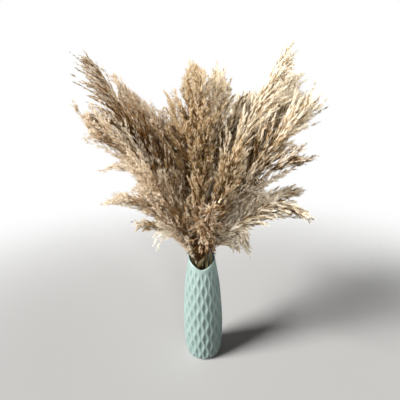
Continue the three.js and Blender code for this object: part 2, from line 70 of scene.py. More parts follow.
# ------------------------------------------------------------------ the reeds, in mm
# path: cut end, through the mouth, up to the tip. z0: where the plume starts.
REEDS = {
    "L1": dict(node="01", z0=236, seed=401,
        path=[[9.5, -18.2, 7.0], [-0.2, -12.8, 78.0], [-10.0, -7.5, 148.9], [-20.0, -2.0, 222.0], [-35.3, -3.2, 304.7], [-60.1, -4.5, 367.3], [-89.0, -6.1, 430.5], [-118.3, -7.7, 488.5], [-144.5, -9.2, 540.0], [-168.0, -10.7, 585.7], [-191.8, -12.0, 618.3]],
        tips=[[0.801, [-217.2, -9.4, 619.3]], [0.769, [-207.2, -13.0, 601.4]], [0.697, [-211.9, -2.3, 594.9]], [0.659, [-217.1, -13.8, 582.7]], [0.615, [-220.6, -3.4, 572.7]], [0.641, [-197.2, -15.7, 561.1]], [0.592, [-192.8, -7.1, 546.3]], [0.904, [-172.9, -10.7, 597.2]], [0.779, [-157.4, -7.2, 578.4]], [0.969, [-188.8, -11.6, 615.1]], [0.775, [-148.6, -9.1, 553.7]]]),
    "L2": dict(node="02", z0=250, seed=408,
        path=[[-1.4, -13.8, 7.0], [-4.9, -7.1, 78.0], [-8.4, -0.5, 148.9], [-12.0, 6.3, 222.0], [-12.9, 8.0, 240.0], [-23.5, 16.1, 315.1], [-41.9, 25.5, 380.3], [-69.9, 36.1, 444.2], [-101.9, 46.2, 499.2], [-133.8, 55.6, 545.9], [-167.4, 66.0, 596.0]],
        tips=[[0.575, [-186.1, 38.9, 603.9]], [0.816, [-149.4, 57.0, 581.8]], [0.65, [-136.6, 39.4, 566.5]], [0.725, [-125.2, 54.1, 551.3]], [0.571, [-102.0, 38.6, 537.8]], [0.541, [-88.0, 42.9, 522.6]], [0.452, [-68.0, 31.5, 519.4]]]),
    "L3": dict(node="03", z0=232, seed=415,
        path=[[16.4, -12.1, 7.0], [5.4, -11.5, 78.0], [-5.6, -11.0, 148.9], [-17.0, -10.5, 222.0], [-38.9, -16.4, 299.0], [-70.2, -23.3, 360.4], [-106.4, -31.3, 418.1], [-140.9, -38.8, 461.2], [-172.6, -45.6, 493.3], [-201.4, -52.0, 520.5]],
        tips=[[0.963, [-208.4, -49.9, 537.5]], [0.827, [-207.4, -38.0, 520.7]], [0.931, [-190.5, -52.3, 512.1]], [0.618, [-199.1, -26.8, 496.6]], [0.431, [-210.7, -24.6, 473.9]], [0.655, [-180.3, -40.1, 469.2]], [0.878, [-184.5, -53.1, 503.8]], [0.593, [-160.6, -41.3, 451.4]], [0.521, [-155.9, -28.2, 442.5]], [0.511, [-176.1, -21.8, 458.6]]]),
    "L5": dict(node="04", z0=246, seed=422,
        path=[[2.1, -20.1, 7.0], [-4.9, -11.6, 78.0], [-11.8, -3.2, 148.9], [-19.0, 5.5, 222.0], [-20.8, 7.6, 240.0], [-40.3, 6.6, 292.9], [-64.5, 7.7, 339.7], [-92.2, 8.9, 381.0], [-122.0, 10.0, 407.5], [-152.4, 10.9, 419.9], [-190.6, 12.0, 410.8]],
        tips=[[0.97, [-191.3, 11.8, 410.9]], [0.777, [-149.1, 14.4, 421.3]], [0.854, [-169.1, 6.9, 417.1]], [0.401, [-121.7, 3.8, 395.8]], [0.656, [-127.2, 13.5, 424.8]]]),
    "L6": dict(node="05", z0=230, seed=429,
        path=[[20.5, -4.4, 7.0], [9.9, -8.5, 78.0], [-0.6, -12.7, 148.9], [-11.5, -17.0, 222.0], [-31.6, -24.1, 274.6], [-58.3, -32.8, 315.5], [-89.3, -42.2, 346.8], [-119.5, -50.8, 365.1], [-146.3, -58.1, 369.6], [-173.2, -66.0, 363.3]],
        tips=[[0.055, [-22.7, -19.3, 251.1]], [0.006, [-21.1, -14.0, 240.0]], [0.0, [-17.1, -20.9, 236.5]], [0.079, [-24.5, -17.0, 256.6]], [0.0, [-13.3, -17.9, 228.4]], [0.055, [-18.6, -24.3, 251.0]], [0.0, [-15.1, -12.9, 239.3]], [0.304, [-185.7, -28.0, 354.1]], [0.278, [-157.3, -23.0, 360.6]], [0.336, [-125.0, -33.4, 360.6]], [0.608, [-97.8, -42.4, 357.6]], [0.294, [-159.2, -19.6, 370.3]], [0.272, [-144.2, -20.7, 365.5]]]),
    "L7": dict(node="06", z0=250, seed=436,
        path=[[-7.2, -18.9, 7.0], [-9.6, -8.2, 78.0], [-12.0, 2.5, 148.9], [-14.5, 13.5, 222.0], [-15.1, 16.2, 240.0], [-19.3, 17.4, 250.7], [-41.9, 21.5, 269.9], [-71.0, 26.5, 284.4], [-102.9, 31.8, 290.0], [-140.1, 38.0, 288.8]],
        tips=[[0.541, [-140.3, 27.9, 297.4]], [0.553, [-133.8, 24.2, 282.4]], [0.523, [-118.4, 31.5, 279.3]], [0.086, [-98.1, 10.8, 254.1]], [0.074, [-94.3, 22.6, 237.9]], [0.127, [-106.8, 19.6, 267.8]]]),
    "C0": dict(node="07", z0=252, seed=443,
        path=[[-9.4, -9.3, 7.0], [-8.0, -2.3, 78.0], [-6.5, 4.8, 148.9], [-5.0, 12.0, 222.0], [-4.6, 13.8, 240.0], [-13.3, 17.9, 314.2], [-19.6, 22.8, 380.3], [-29.7, 28.1, 440.1], [-39.7, 33.5, 494.2], [-50.2, 37.0, 526.5], [-60.8, 40.0, 552.7]],
        tips=[[0.878, [-60.3, 34.1, 551.3]], [0.811, [-43.2, 38.0, 555.9]], [0.829, [-53.2, 30.5, 533.8]], [0.606, [-73.4, 31.8, 517.7]]]),
    "C1": dict(node="08", z0=244, seed=450,
        path=[[2.5, -3.4, 7.0], [0.3, -2.6, 78.0], [-1.8, -1.8, 148.9], [-4.0, -1.0, 222.0], [-7.1, -3.2, 316.6], [-7.1, -5.5, 389.9], [-7.0, -8.0, 460.4], [-5.3, -10.6, 522.9], [-5.9, -12.4, 563.6], [-11.8, -14.0, 597.9]],
        tips=[[0.976, [-11.1, -13.6, 598.0]], [0.866, [-2.1, -7.8, 595.3]], [0.727, [-19.1, -13.7, 586.8]], [0.664, [-25.1, -8.8, 572.7]], [0.646, [-27.6, -4.5, 558.0]], [0.762, [10.4, -6.2, 580.4]], [0.701, [17.0, -13.3, 563.0]]]),
    "C2": dict(node="09", z0=252, seed=457,
        path=[[-6.6, 0.1, 7.0], [-3.6, 2.0, 78.0], [-0.6, 4.0, 148.9], [2.5, 6.0, 222.0], [3.3, 6.5, 240.0], [7.2, 14.0, 319.2], [16.9, 22.4, 391.8], [28.3, 31.9, 465.8], [37.2, 40.2, 526.4], [41.9, 46.6, 570.9], [38.7, 52.0, 607.7]],
        tips=[[0.279, [36.8, 18.1, 602.9]], [0.896, [40.5, 52.1, 589.7]], [0.705, [63.2, 37.0, 573.2]], [0.71, [50.6, 33.2, 590.8]], [0.705, [58.8, 41.0, 555.5]], [0.6, [29.9, 31.9, 591.1]]]),
    "C3": dict(node="10", z0=256, seed=464,
        path=[[-15.6, -0.8, 7.0], [-8.8, 4.2, 78.0], [-2.0, 9.3, 148.9], [5.0, 14.5, 222.0], [6.7, 15.8, 240.0], [11.5, 31.9, 309.2], [30.2, 54.9, 372.4], [53.3, 76.7, 432.5], [76.6, 97.1, 489.4], [95.3, 111.7, 528.5], [109.4, 122.0, 555.4]],
        tips=[[0.0, [84.8, 19.1, 547.1]], [0.0, [96.6, 23.1, 548.7]], [0.0, [75.2, 15.1, 528.6]], [0.0, [102.5, 23.1, 535.4]]]),
    "R1": dict(node="11", z0=246, seed=471,
        path=[[-3.0, 11.4, 7.0], [1.8, 7.2, 78.0], [6.6, 2.9, 148.9], [11.5, -1.5, 222.0], [12.6, -1.3, 302.8], [37.2, -1.0, 368.0], [64.4, -0.8, 435.5], [92.0, -0.6, 499.4], [118.4, -0.3, 549.7], [144.0, -0.2, 591.3], [167.2, 0.0, 625.1]],
        tips=[[0.44, [142.7, -2.8, 512.5]], [0.326, [151.8, -5.0, 501.7]], [0.348, [137.8, -2.9, 494.8]], [0.374, [158.7, -4.9, 512.1]], [0.254, [148.8, -5.1, 483.8]], [0.292, [132.3, -5.0, 480.6]], [0.254, [157.9, -5.1, 487.2]], [0.287, [164.6, -5.0, 501.4]], [0.229, [143.3, -7.1, 471.4]], [0.98, [167.1, -0.0, 625.9]], [0.853, [146.7, -4.2, 608.7]], [0.805, [131.1, 3.7, 575.9]], [0.737, [116.9, -4.4, 554.6]], [0.647, [97.8, 3.4, 520.7]], [0.56, [82.2, -4.7, 496.2]], [0.509, [73.6, 3.2, 473.1]], [0.717, [175.8, 3.6, 614.2]], [0.934, [160.4, -0.1, 620.4]]]),
    "R2": dict(node="12", z0=254, seed=478,
        path=[[-11.5, 8.0, 7.0], [-3.9, 7.8, 78.0], [3.7, 7.7, 148.9], [11.5, 7.5, 222.0], [13.4, 7.5, 240.0], [17.1, 15.0, 299.3], [52.9, 23.2, 361.9], [96.1, 34.4, 436.3], [136.5, 44.9, 497.4], [174.5, 54.4, 548.1], [208.3, 62.0, 583.3]],
        tips=[[0.5, [183.4, 29.3, 602.2]], [0.903, [197.9, 59.6, 580.1]], [0.281, [194.1, 22.3, 581.0]], [0.719, [210.9, 49.4, 570.9]], [0.58, [175.4, 37.5, 595.5]]]),
    "R4": dict(node="13", z0=242, seed=485,
        path=[[-5.0, 20.5, 7.0], [3.4, 12.8, 78.0], [11.8, 5.0, 148.9], [20.5, -3.0, 222.0], [22.3, -3.7, 286.4], [60.3, -4.7, 346.2], [102.1, -6.0, 404.8], [147.3, -7.5, 460.3], [191.0, -8.9, 500.8], [230.6, -10.0, 524.3]],
        tips=[[0.909, [227.0, -9.2, 528.6]], [0.493, [233.7, -1.9, 517.6]], [0.567, [216.2, -10.4, 491.4]], [0.718, [211.3, -1.6, 561.2]], [0.722, [206.6, -7.6, 545.5]], [0.709, [172.2, -13.5, 474.7]], [0.798, [201.6, -4.2, 500.5]], [0.822, [219.4, -8.5, 538.4]]]),
    "R6": dict(node="14", z0=240, seed=492,
        path=[[3.8, 21.9, 7.0], [8.7, 10.9, 78.0], [13.5, -0.1, 148.9], [18.5, -11.5, 222.0], [21.7, -14.2, 273.4], [54.9, -20.7, 324.6], [89.8, -27.7, 371.1], [124.8, -34.3, 405.5], [165.6, -41.2, 425.6], [207.3, -48.0, 434.5]],
        tips=[[0.243, [218.2, -18.1, 430.3]], [0.71, [190.3, -31.0, 455.1]], [0.674, [158.5, -37.4, 446.7]], [0.515, [124.1, -23.3, 431.4]], [0.249, [180.2, -22.2, 425.3]], [0.308, [148.8, -16.2, 416.8]], [0.243, [186.3, -22.1, 414.9]]]),
    "R9": dict(node="15", z0=250, seed=499,
        path=[[-13.8, 16.4, 7.0], [-2.6, 13.2, 78.0], [8.5, 9.9, 148.9], [20.0, 6.5, 222.0], [22.8, 5.7, 240.0], [24.5, 9.3, 252.9], [64.4, 15.0, 295.9], [108.0, 21.1, 327.3], [145.5, 25.8, 342.1], [177.0, 29.7, 348.8], [210.9, 34.0, 355.4]],
        tips=[[0.657, [207.2, 24.7, 355.6]], [0.58, [158.2, 26.7, 362.6]], [0.635, [170.5, 20.1, 347.1]], [0.648, [144.0, 28.4, 341.4]], [0.635, [186.9, 24.1, 366.6]]]),
    "R10": dict(node="16", z0=234, seed=506,
        path=[[11.5, 17.8, 7.0], [11.7, 6.3, 78.0], [11.8, -5.2, 148.9], [12.0, -17.0, 222.0], [25.1, -22.6, 259.8], [57.7, -32.3, 298.1], [91.8, -43.5, 330.9], [122.5, -53.7, 350.4], [159.1, -65.3, 350.9], [197.8, -80.0, 332.4]],
        tips=[[0.217, [215.4, -27.4, 313.4]], [0.217, [184.8, -23.4, 334.2]], [0.222, [147.9, -31.6, 345.4]], [0.207, [170.2, -22.9, 322.4]], [0.186, [123.0, -29.9, 307.8]], [0.217, [197.3, -27.4, 327.1]], [0.321, [107.6, -30.6, 306.4]], [0.311, [117.4, -28.0, 315.3]], [0.44, [98.8, -47.2, 320.3]], [0.445, [124.8, -45.5, 330.7]], [0.326, [74.0, -36.8, 333.2]], [0.376, [84.7, -39.5, 347.3]], [0.421, [95.5, -40.1, 358.7]], [0.455, [106.0, -42.1, 368.4]], [0.483, [115.1, -41.8, 373.8]], [0.543, [125.4, -45.5, 370.7]], [0.619, [135.3, -50.5, 364.2]], [0.265, [68.5, -35.7, 342.8]], [0.326, [79.4, -36.8, 358.3]], [0.435, [89.6, -44.9, 339.2]], [0.483, [101.9, -46.8, 350.9]], [0.555, [115.7, -50.2, 359.0]], [0.217, [63.3, -32.4, 332.1]], [0.551, [108.6, -51.3, 342.5]], [0.228, [130.5, -33.9, 346.5]], [0.201, [93.2, -30.6, 244.5]], [0.222, [89.4, -29.4, 248.3]], [0.244, [85.6, -28.2, 254.3]], [0.265, [95.7, -27.1, 249.2]], [0.28, [91.9, -25.6, 255.1]], [0.301, [80.6, -35.5, 261.8]], [0.321, [86.5, -34.4, 265.3]], [0.201, [77.9, -26.2, 264.2]], [0.222, [95.8, -25.0, 259.0]], [0.244, [74.2, -23.8, 269.6]], [0.265, [82.7, -33.7, 273.4]], [0.28, [69.3, -32.2, 279.4]], [0.301, [79.1, -31.1, 278.7]], [0.321, [91.0, -30.0, 269.6]], [0.201, [96.7, -21.8, 236.1]], [0.222, [75.3, -31.6, 260.2]], [0.071, [52.7, -23.1, 265.6]], [0.09, [60.7, -21.8, 256.4]], [0.111, [68.8, -20.6, 251.4]], [0.13, [47.1, -19.4, 270.6]], [0.15, [56.3, -26.3, 264.8]], [0.071, [64.8, -21.1, 260.2]], [0.09, [72.9, -19.8, 248.8]], [0.111, [41.3, -18.6, 274.7]], [0.13, [50.5, -25.4, 275.1]], [0.15, [58.5, -24.3, 270.2]], [0.28, [83.8, -36.4, 305.0]], [0.301, [87.9, -35.5, 294.5]], [0.321, [82.4, -34.6, 288.2]], [0.341, [88.3, -33.6, 283.6]], [0.28, [76.3, -36.4, 297.2]], [0.301, [91.6, -35.5, 298.4]], [0.321, [80.2, -34.6, 308.5]], [0.063, [54.6, -23.8, 270.1]], [0.082, [48.8, -22.5, 265.5]], [0.103, [62.7, -21.3, 262.5]], [0.121, [45.1, -20.0, 277.2]], [0.14, [57.1, -18.8, 257.4]], [0.16, [66.0, -27.7, 258.8]], [0.181, [52.4, -26.7, 281.8]], [0.201, [58.3, -25.6, 277.0]], [0.063, [65.1, -17.8, 269.5]], [0.082, [69.2, -16.5, 262.5]], [0.103, [60.3, -25.3, 285.2]], [0.121, [54.6, -24.0, 286.9]], [0.14, [48.9, -22.8, 290.8]], [0.16, [66.6, -21.7, 279.5]], [0.181, [70.8, -20.7, 257.8]], [0.201, [61.9, -29.6, 255.5]]]),
    "F1": dict(node="17", z0=234, seed=513,
        path=[[10.7, -6.1, 7.0], [4.0, -6.6, 78.0], [-2.6, -7.0, 148.9], [-9.5, -7.5, 222.0], [-6.0, -19.4, 280.5], [-2.8, -35.4, 334.7], [0.2, -52.8, 384.8], [4.5, -71.2, 430.6], [10.0, -88.9, 468.8], [16.4, -104.0, 497.4]],
        tips=[]),
    "F2": dict(node="18", z0=238, seed=520,
        path=[[5.1, 12.0, 7.0], [6.4, 5.0, 78.0], [7.7, -1.9, 148.9], [9.0, -9.0, 222.0], [13.4, -20.5, 267.7], [25.0, -39.7, 319.6], [35.3, -59.2, 363.5], [44.5, -78.9, 401.9], [52.8, -96.4, 431.7], [62.0, -112.0, 454.2]],
        tips=[]),
    "F3": dict(node="19", z0=230, seed=527,
        path=[[7.0, 4.5, 7.0], [5.2, 0.4, 78.0], [3.4, -3.8, 148.9], [1.5, -8.0, 222.0], [1.1, -18.9, 245.9], [3.5, -47.0, 283.0], [7.3, -76.2, 315.6], [12.1, -107.9, 346.4], [17.7, -142.0, 375.1]],
        tips=[[0.0, [-11.2, -10.5, 233.7]], [0.0, [-5.3, -13.5, 228.4]], [0.0, [0.9, -7.5, 229.8]], [0.0, [7.1, -12.5, 236.4]], [0.0, [-15.5, -8.5, 226.3]], [0.0, [-1.3, -15.5, 224.8]], [0.0, [-7.1, -5.5, 238.0]], [0.053, [3.1, -19.7, 246.3]], [0.019, [11.2, -12.5, 242.8]], [0.0, [-9.5, -6.5, 220.7]], [0.0, [-19.2, -14.8, 238.1]], [0.016, [-2.8, -6.0, 244.7]], [0.0, [49.5, -14.5, 268.6]], [0.0, [42.0, -8.5, 283.5]], [0.0, [62.0, -8.5, 291.4]]]),
    "B1": dict(node="20", z0=256, seed=534,
        path=[[-17.0, -9.6, 7.0], [-12.2, -0.2, 78.0], [-7.4, 9.3, 148.9], [-2.5, 19.0, 222.0], [-1.3, 21.4, 240.0], [-9.7, 48.1, 304.6], [-29.9, 73.9, 365.4], [-55.4, 100.5, 423.5], [-81.8, 123.4, 470.5], [-104.5, 142.0, 507.7]],
        tips=[]),
    "B2": dict(node="21", z0=258, seed=541,
        path=[[-19.7, 5.2, 7.0], [-9.3, 8.8, 78.0], [1.2, 12.3, 148.9], [12.0, 16.0, 222.0], [14.7, 16.9, 240.0], [9.7, 48.7, 303.9], [37.0, 67.0, 351.9], [74.0, 90.3, 399.7], [112.1, 113.1, 440.1], [146.2, 132.0, 471.2]],
        tips=[[0.288, [137.7, 52.6, 372.3]], [0.283, [137.8, 62.2, 359.4]], [0.278, [132.5, 55.8, 352.2]]]),
}

# How each plume grows. nb: branches, L: the longest in mm, ang: degrees off the stalk,
# side: where they hang, lean: how much they do, droop: how much their ends sag,
# tone: 0 dark to 1 pale, at its foot, middle and tip, pal: its finish, grain: size of its spikelets
STYLE = {
    "L1": dict(nb=225, L=104, ang=20, side=(-0.85, 0.0, -0.5), lean=0.80, droop=0.11, tone=(1.07, -0.02, 0.82), pal="tan", loose=6, speck=1.35, tips=0.7, grain=0.85, dense=1.0, from_=(0.4, 0.8), apart=2, mix=(0.40, 0.30), open=0.45, wide=1.3, awn=-0.25, painted_shade_depth=0.25, vary=0.07),
    "L2": dict(nb=290, L=100, ang=29, side=(-0.8, 0.0, -0.5), lean=0.2, droop=0.02, tone=(0.64, 0.52, 0.87), pal="tan", loose=26, speck=0.95, grain=0.72, dense=1.6, from_=(0.5, 0.9), apart=11, sparse=(0.70, 0.84, 0.85), painted_shade_depth=0.15),
    "L3": dict(nb=241, L=104, ang=23, side=(-0.1, -0.3, 0.2), lean=0.05, droop=0.08, tone=(0.55, 0.94, 0.77), pal="tan", loose=18, speck=1.0, grain=0.72, dense=1.35, tips=0.62, apart=10, awn=-0.1, wide=1.05, painted_shade_depth=0.09, vary=0.045, trim=((-66, -78, 463), (-68, -68, 448))),
    "L5": dict(nb=110, L=60, ang=14, side=(0, -0.8, -0.6), lean=0.3, droop=0.12, tone=(0.48, 0.94, 0.96), pal="ash", speck=1.1, apart=3, mix=(0.3, 0.16), tips=0.6),
    "L6": dict(nb=97, L=62, ang=15, side=(0, 0, -1), lean=0.3, droop=0.12, tone=(1.08, 0.58, 1.08), pal="tan", speck=1.2, apart=4, wide=1.4, painted_shade_depth=0.12, vary=0.12, tips=0.6),
    "L7": dict(nb=56, L=52, ang=22, side=(0, 0, -1), lean=0.3, droop=0.35, tone=(1.08, 0.08, 0.79), pal="cream", speck=1.3, apart=4, sparse=(0.5, 0.8, 0.7), mix=(0.45, 0.14), painted_shade_depth=0.12),
    "C0": dict(nb=91, L=92, ang=19, side=(-0.6, 0, 0.2), lean=0.1, droop=0.0, tone=(0.91, 0.32, 0.76), pal="brown", speck=1.2, apart=4, sparse=(0.55, 0.8, 0.7), painted_shade_depth=0.2),
    "C1": dict(nb=257, L=96, ang=21, side=(0, 0, 1), lean=0.0, droop=0.01, tone=(0.62, 0.33, 0.75), pal="brown", blunt=1, loose=25, speck=1.15, grain=0.75, dense=1.35, apart=8, mix=(0.32, 0.14), wide=1.25, awn=-0.2, tips=0.22, vary=0.09),
    "C2": dict(nb=220, L=92, ang=20, side=(0, 0, 1), lean=0.0, droop=0.02, tone=(1.08, 0.17, 1.08), pal="cream", blunt=1, loose=13, speck=1.8, grain=0.9, dense=1.15, apart=4, mix=(0.52, 0.10), wide=1.6, awn=-0.1, painted_shade_depth=0.05, vary=0.16, tips=0.45),
    "C3": dict(nb=182, L=92, ang=24, side=(0.3, 0, 0), lean=0.1, droop=0.03, tone=(-0.08, 1.08, 1.08), pal="cream", blunt=1, speck=1.4, apart=7, wide=1.5, awn=-0.05, painted_shade_depth=0.05, mix=(0.46, 0.08)),
    "R1": dict(nb=260, L=108, ang=20, side=(1.0, 0, -0.2), lean=0.6, droop=0.03, tone=(-0.06, 0.63, 0.93), pal="cream", loose=7, speck=1.32, apart=2, mix=(0.36, 0.15), open=0.45, from_=(0.3, 0.6), wide=1.6, awn=-0.15, vary=0.05, tips=0.48),
    "R2": dict(nb=227, L=106, ang=21, side=(0.8, 0, -0.4), lean=0.10, droop=0.03, tone=(0.53, 1.08, 1.08), pal="cream", blunt=1, loose=10, speck=1.5, apart=2, mix=(0.46, 0.12), open=0.6, wide=1.6, awn=-0.12, painted_shade_depth=0.05, tips=0.5),
    "R4": dict(nb=265, L=106, ang=22, side=(-0.6, 0, 0.7), lean=0.12, droop=0.03, tone=(1.03, 0.29, 0.87), pal="cream", blunt=1, loose=7, speck=1.32, apart=2, mix=(0.36, 0.15), open=0.45, wide=1.6, awn=-0.15, vary=0.05, tips=0.48),
    "R6": dict(nb=160, L=88, ang=14, side=(0, 0, -1), lean=0.3, droop=0.05, tone=(1.05, 0.86, 0.39), pal="ash", speck=1.8, apart=5, wide=1.8, awn=-0.1, slim=0.45, painted_shade_depth=0.15, mix=(0.40, 0.26), open=0.7, lead=0.12, vary=0.24),
    "R9": dict(nb=100, L=62, ang=14, side=(0, -0.6, -0.4), lean=0.2, droop=0.10, tone=(0.12, 1.08, 0.49), pal="cream", speck=1.4, apart=2, wide=1.4, awn=-0.1, loose=10, mix=(0.46, 0.12), painted_shade_depth=0.02, vary=0.12, tips=0.5),
    "R10": dict(nb=95, L=64, ang=17, side=(0, 0, -1), lean=0.7, droop=0.3, tone=(0.97, 1.01, 0.60), pal="cream", speck=2.1, apart=2, mix=(0.44, 0.30), loose=8, wide=2.0, awn=-0.1, open=0.6, lead=0.2, painted_shade_depth=0.1, grain=1.1, vary=0.32, tips=1.1),
    "F1": dict(nb=191, L=78, ang=10, side=(0, -1, 0), lean=0.2, droop=0.05, tone=(0.77, 0.37, 0.27), pal="brown", loose=9, speck=1.25, apart=3, wide=1.1, awn=-0.2),
    "F2": dict(nb=191, L=80, ang=12, side=(0.4, -1, 0), lean=0.2, droop=0.06, tone=(-0.01, 0.47, 0.61), pal="brown", loose=10, speck=1.35, apart=3, wide=1.1, awn=-0.2),
    "F3": dict(nb=165, L=40, ang=38, side=(-0.4, -0.3, -0.6), lean=0.3, droop=0.85, tone=(-0.20, 0.64, 0.76), pal="tan", grain=0.8, speck=1.2, apart=4, wide=1.05, awn=-0.2, loose=18, open=0.9, mix=(0.20, 0.32), dense=1.25, sparse=(0.55, 0.9, 0.75), tips=-0.45, vary=0.1),
    "B1": dict(nb=225, L=104, ang=23, side=(-0.7, 0.2, -0.3), lean=0.30, droop=0.03, tone=(0.50, 0.60, 0.35), pal="tan", speck=1.0, grain=0.75, dense=1.4, loose=22, apart=10),
    "B2": dict(nb=182, L=100, ang=22, side=(0, 1, 0), lean=0.1, droop=0.04, tone=(0.47, 0.54, 0.61), pal="tan", apart=8),
}
TUFTS_PER_MM = 0.28       # spikelets along a branch
IN_TUFT = (5, 4)          # small husks and hairs of a spikelet, besides its long one
CORE_PER_MM = 0.16        # longer husks near the stalk
TUFT = (8.5, 14.5)        # shortest and longest spikelet, mm
HALF = 0.50               # half width of a husk, mm
ROUND = 0.45              # how much of a plume's own roundness its husks are shaded with
LOW, HIGH = np.array([-223.0, -159.0, 2.0]), np.array([252.0, 159.5, 652.0])  # nothing grows past these, mm


def unit(a):
    return a / np.maximum(np.linalg.norm(a, axis=-1, keepdims=True), 1e-12)


def catmull(pts, per=40, alpha=0.5):
    pts = np.asarray(pts, float)
    q = np.vstack([2 * pts[0] - pts[1], pts, 2 * pts[-1] - pts[-2]])
    t = [0.0]
    for i in range(1, len(q)):
        t.append(t[-1] + max(np.linalg.norm(q[i] - q[i - 1]), 1e-6) ** alpha)
    out = []
    for i in range(1, len(q) - 2):
        t0, t1, t2, t3 = t[i - 1 : i + 3]
        s = np.linspace(t1, t2, per, endpoint=False)[:, None]
        a1 = (t1 - s) / (t1 - t0) * q[i - 1] + (s - t0) / (t1 - t0) * q[i]
        a2 = (t2 - s) / (t2 - t1) * q[i] + (s - t1) / (t2 - t1) * q[i + 1]
        a3 = (t3 - s) / (t3 - t2) * q[i + 1] + (s - t2) / (t3 - t2) * q[i + 2]
        b1 = (t2 - s) / (t2 - t0) * a1 + (s - t0) / (t2 - t0) * a2
        b2 = (t3 - s) / (t3 - t1) * a2 + (s - t1) / (t3 - t1) * a3
        out.append((t2 - s) / (t2 - t1) * b1 + (s - t1) / (t2 - t1) * b2)
    return np.vstack(out + [pts[-1:]])


def even(line, n):
    d = np.r_[0, np.cumsum(np.linalg.norm(np.diff(line, axis=0), axis=1))]
    s = np.linspace(0, d[-1], n)
    return np.stack([np.interp(s, d, line[:, k]) for k in range(3)], 1), d[-1]


class Spine:
    """A curve in even steps, with a frame along it that doesn't twist."""

    def __init__(self, line, n=240):
        self.p, self.length = even(line, n)
        self.t = unit(np.gradient(self.p, axis=0))
        self.n = np.zeros_like(self.p)
        v = np.cross(self.t[0], [0, 1.0, 0])
        for i in range(n):
            v = v - self.t[i] * (v @ self.t[i])
            v = v / np.linalg.norm(v)
            self.n[i] = v
        self.b = np.cross(self.t, self.n)

    def at(self, u):
        x = np.clip(np.asarray(u, float), 0, 1) * (len(self.p) - 1)
        i = np.minimum(x.astype(int), len(self.p) - 2)
        f = (x - i)[..., None]

        def mix(a):
            return a[i] * (1 - f) + a[i + 1] * f

        return mix(self.p), unit(mix(self.t)), unit(mix(self.n)), unit(mix(self.b))


def on_lines(lines, who, s):
    """Points and directions at the share s of the way along lines[who]."""
    k = lines.shape[1]
    x = s * (k - 1)
    i = np.minimum(x.astype(int), k - 2)
    f = (x - i)[:, None]
    a, b = lines[who, i], lines[who, i + 1]
    return a * (1 - f) + b * f, unit(b - a)


# ------------------------------------------------------------------ how far the bundle reaches
# Its outline seen from the front, as x and z in mm on the upright plane y = 0.
OUTLINE = [
    (160, 613), (164, 612), (168, 604), (171, 578), (190, 575), (178, 565), (178, 554), (189, 546), (206, 548),
    (209, 532), (221, 525), (215, 521), (207, 509), (206, 495), (197, 479), (178, 471), (175, 466), (177, 453),
    (190, 449), (190, 430), (206, 425), (198, 415), (170, 411), (136, 406), (113, 396), (105, 382), (127, 385),
    (129, 378), (118, 358), (147, 369), (176, 371), (195, 367), (197, 352), (191, 345), (192, 334), (210, 325),
    (222, 310), (222, 305), (210, 304), (193, 315), (153, 311), (148, 304), (136, 302), (125, 285), (109, 279),
    (96, 263), (98, 239), (93, 231), (62, 237), (51, 247), (30, 248), (26, 243), (24, 216), (-16, 215), (-31, 233),
    (-33, 245), (-52, 263), (-90, 269), (-87, 275), (-89, 288), (-128, 290), (-125, 303), (-113, 322), (-114, 334),
    (-134, 337), (-146, 346), (-189, 346), (-186, 352), (-176, 354), (-159, 367), (-148, 370), (-135, 373),
    (-123, 381), (-122, 402), (-143, 410), (-182, 412), (-180, 416), (-150, 424), (-149, 436), (-128, 432), (-157, 452),
    (-215, 473), (-207, 476), (-204, 481), (-204, 490), (-209, 501), (-208, 513), (-202, 519),
    (-201, 532), (-205, 535), (-228, 537), (-224, 542), (-199, 542), (-195, 545), (-197, 559), (-224, 573),
    (-222, 576), (-208, 578), (-206, 602), (-200, 615), (-193, 615), (-190, 608), (-182, 606), (-175, 600),
    (-165, 591), (-158, 575), (-154, 562), (-150, 544), (-147, 538), (-143, 544), (-144, 558), (-147, 571),
    (-154, 587), (-151, 589), (-140, 577), (-113, 551), (-110, 545), (-100, 541), (-94, 534), (-84, 533), (-76, 524),
    (-66, 523), (-57, 526), (-54, 531), (-54, 540), (-58, 550), (-29, 556), (-25, 573), (-9, 599), (-3, 598),
    (18, 582), (27, 581), (37, 585), (43, 584), (48, 578), (49, 568), (56, 562), (64, 546), (73, 544), (109, 549),
    (118, 555), (148, 608), (157, 609),
]
EYE = np.array([-0.33, -617.19, 514.52])  # where it was seen from, mm


class Reach:
    """Tells which points are inside the outline, as seen from the front."""

    def __init__(self, step=1.5):
        self.step, self.x0, self.z0 = step, -240.0, 190.0
        x = self.x0 + step * (np.arange(340) + 0.5)
        z = self.z0 + step * (np.arange(330) + 0.5)
        gx, gz = np.meshgrid(x, z, indexing="ij")
        inside = np.zeros(gx.shape, bool)
        o = np.array(OUTLINE, float)
        for (xa, za), (xb, zb) in zip(o, np.roll(o, -1, 0)):
            if za != zb:
                inside ^= ((gz < za) != (gz < zb)) & (gx < xa + (gz - za) / (zb - za) * (xb - xa))
        self.near = inside | ((np.abs(gx) < 30) & (gz < 240))
        self.grid = self.near.copy()
        for _ in range(2):  # a little further out
            g = self.near
            self.near = g.copy()
            self.near[1:] |= g[:-1]
            self.near[:-1] |= g[1:]
            self.near[:, 1:] |= g[:, :-1]
            self.near[:, :-1] |= g[:, 1:]

    def inside(self, p, wide=False):
        k = (0.0 - EYE[1]) / (p[..., 1] - EYE[1])
        i = ((EYE[0] + (p[..., 0] - EYE[0]) * k - self.x0) / self.step).astype(int)
        j = ((EYE[2] + (p[..., 2] - EYE[2]) * k - self.z0) / self.step).astype(int)
        grid = self.near if wide else self.grid
        return grid[np.clip(i, 0, grid.shape[0] - 1), np.clip(j, 0, grid.shape[1] - 1)] | (p[..., 2] < 215)


REACH = Reach()


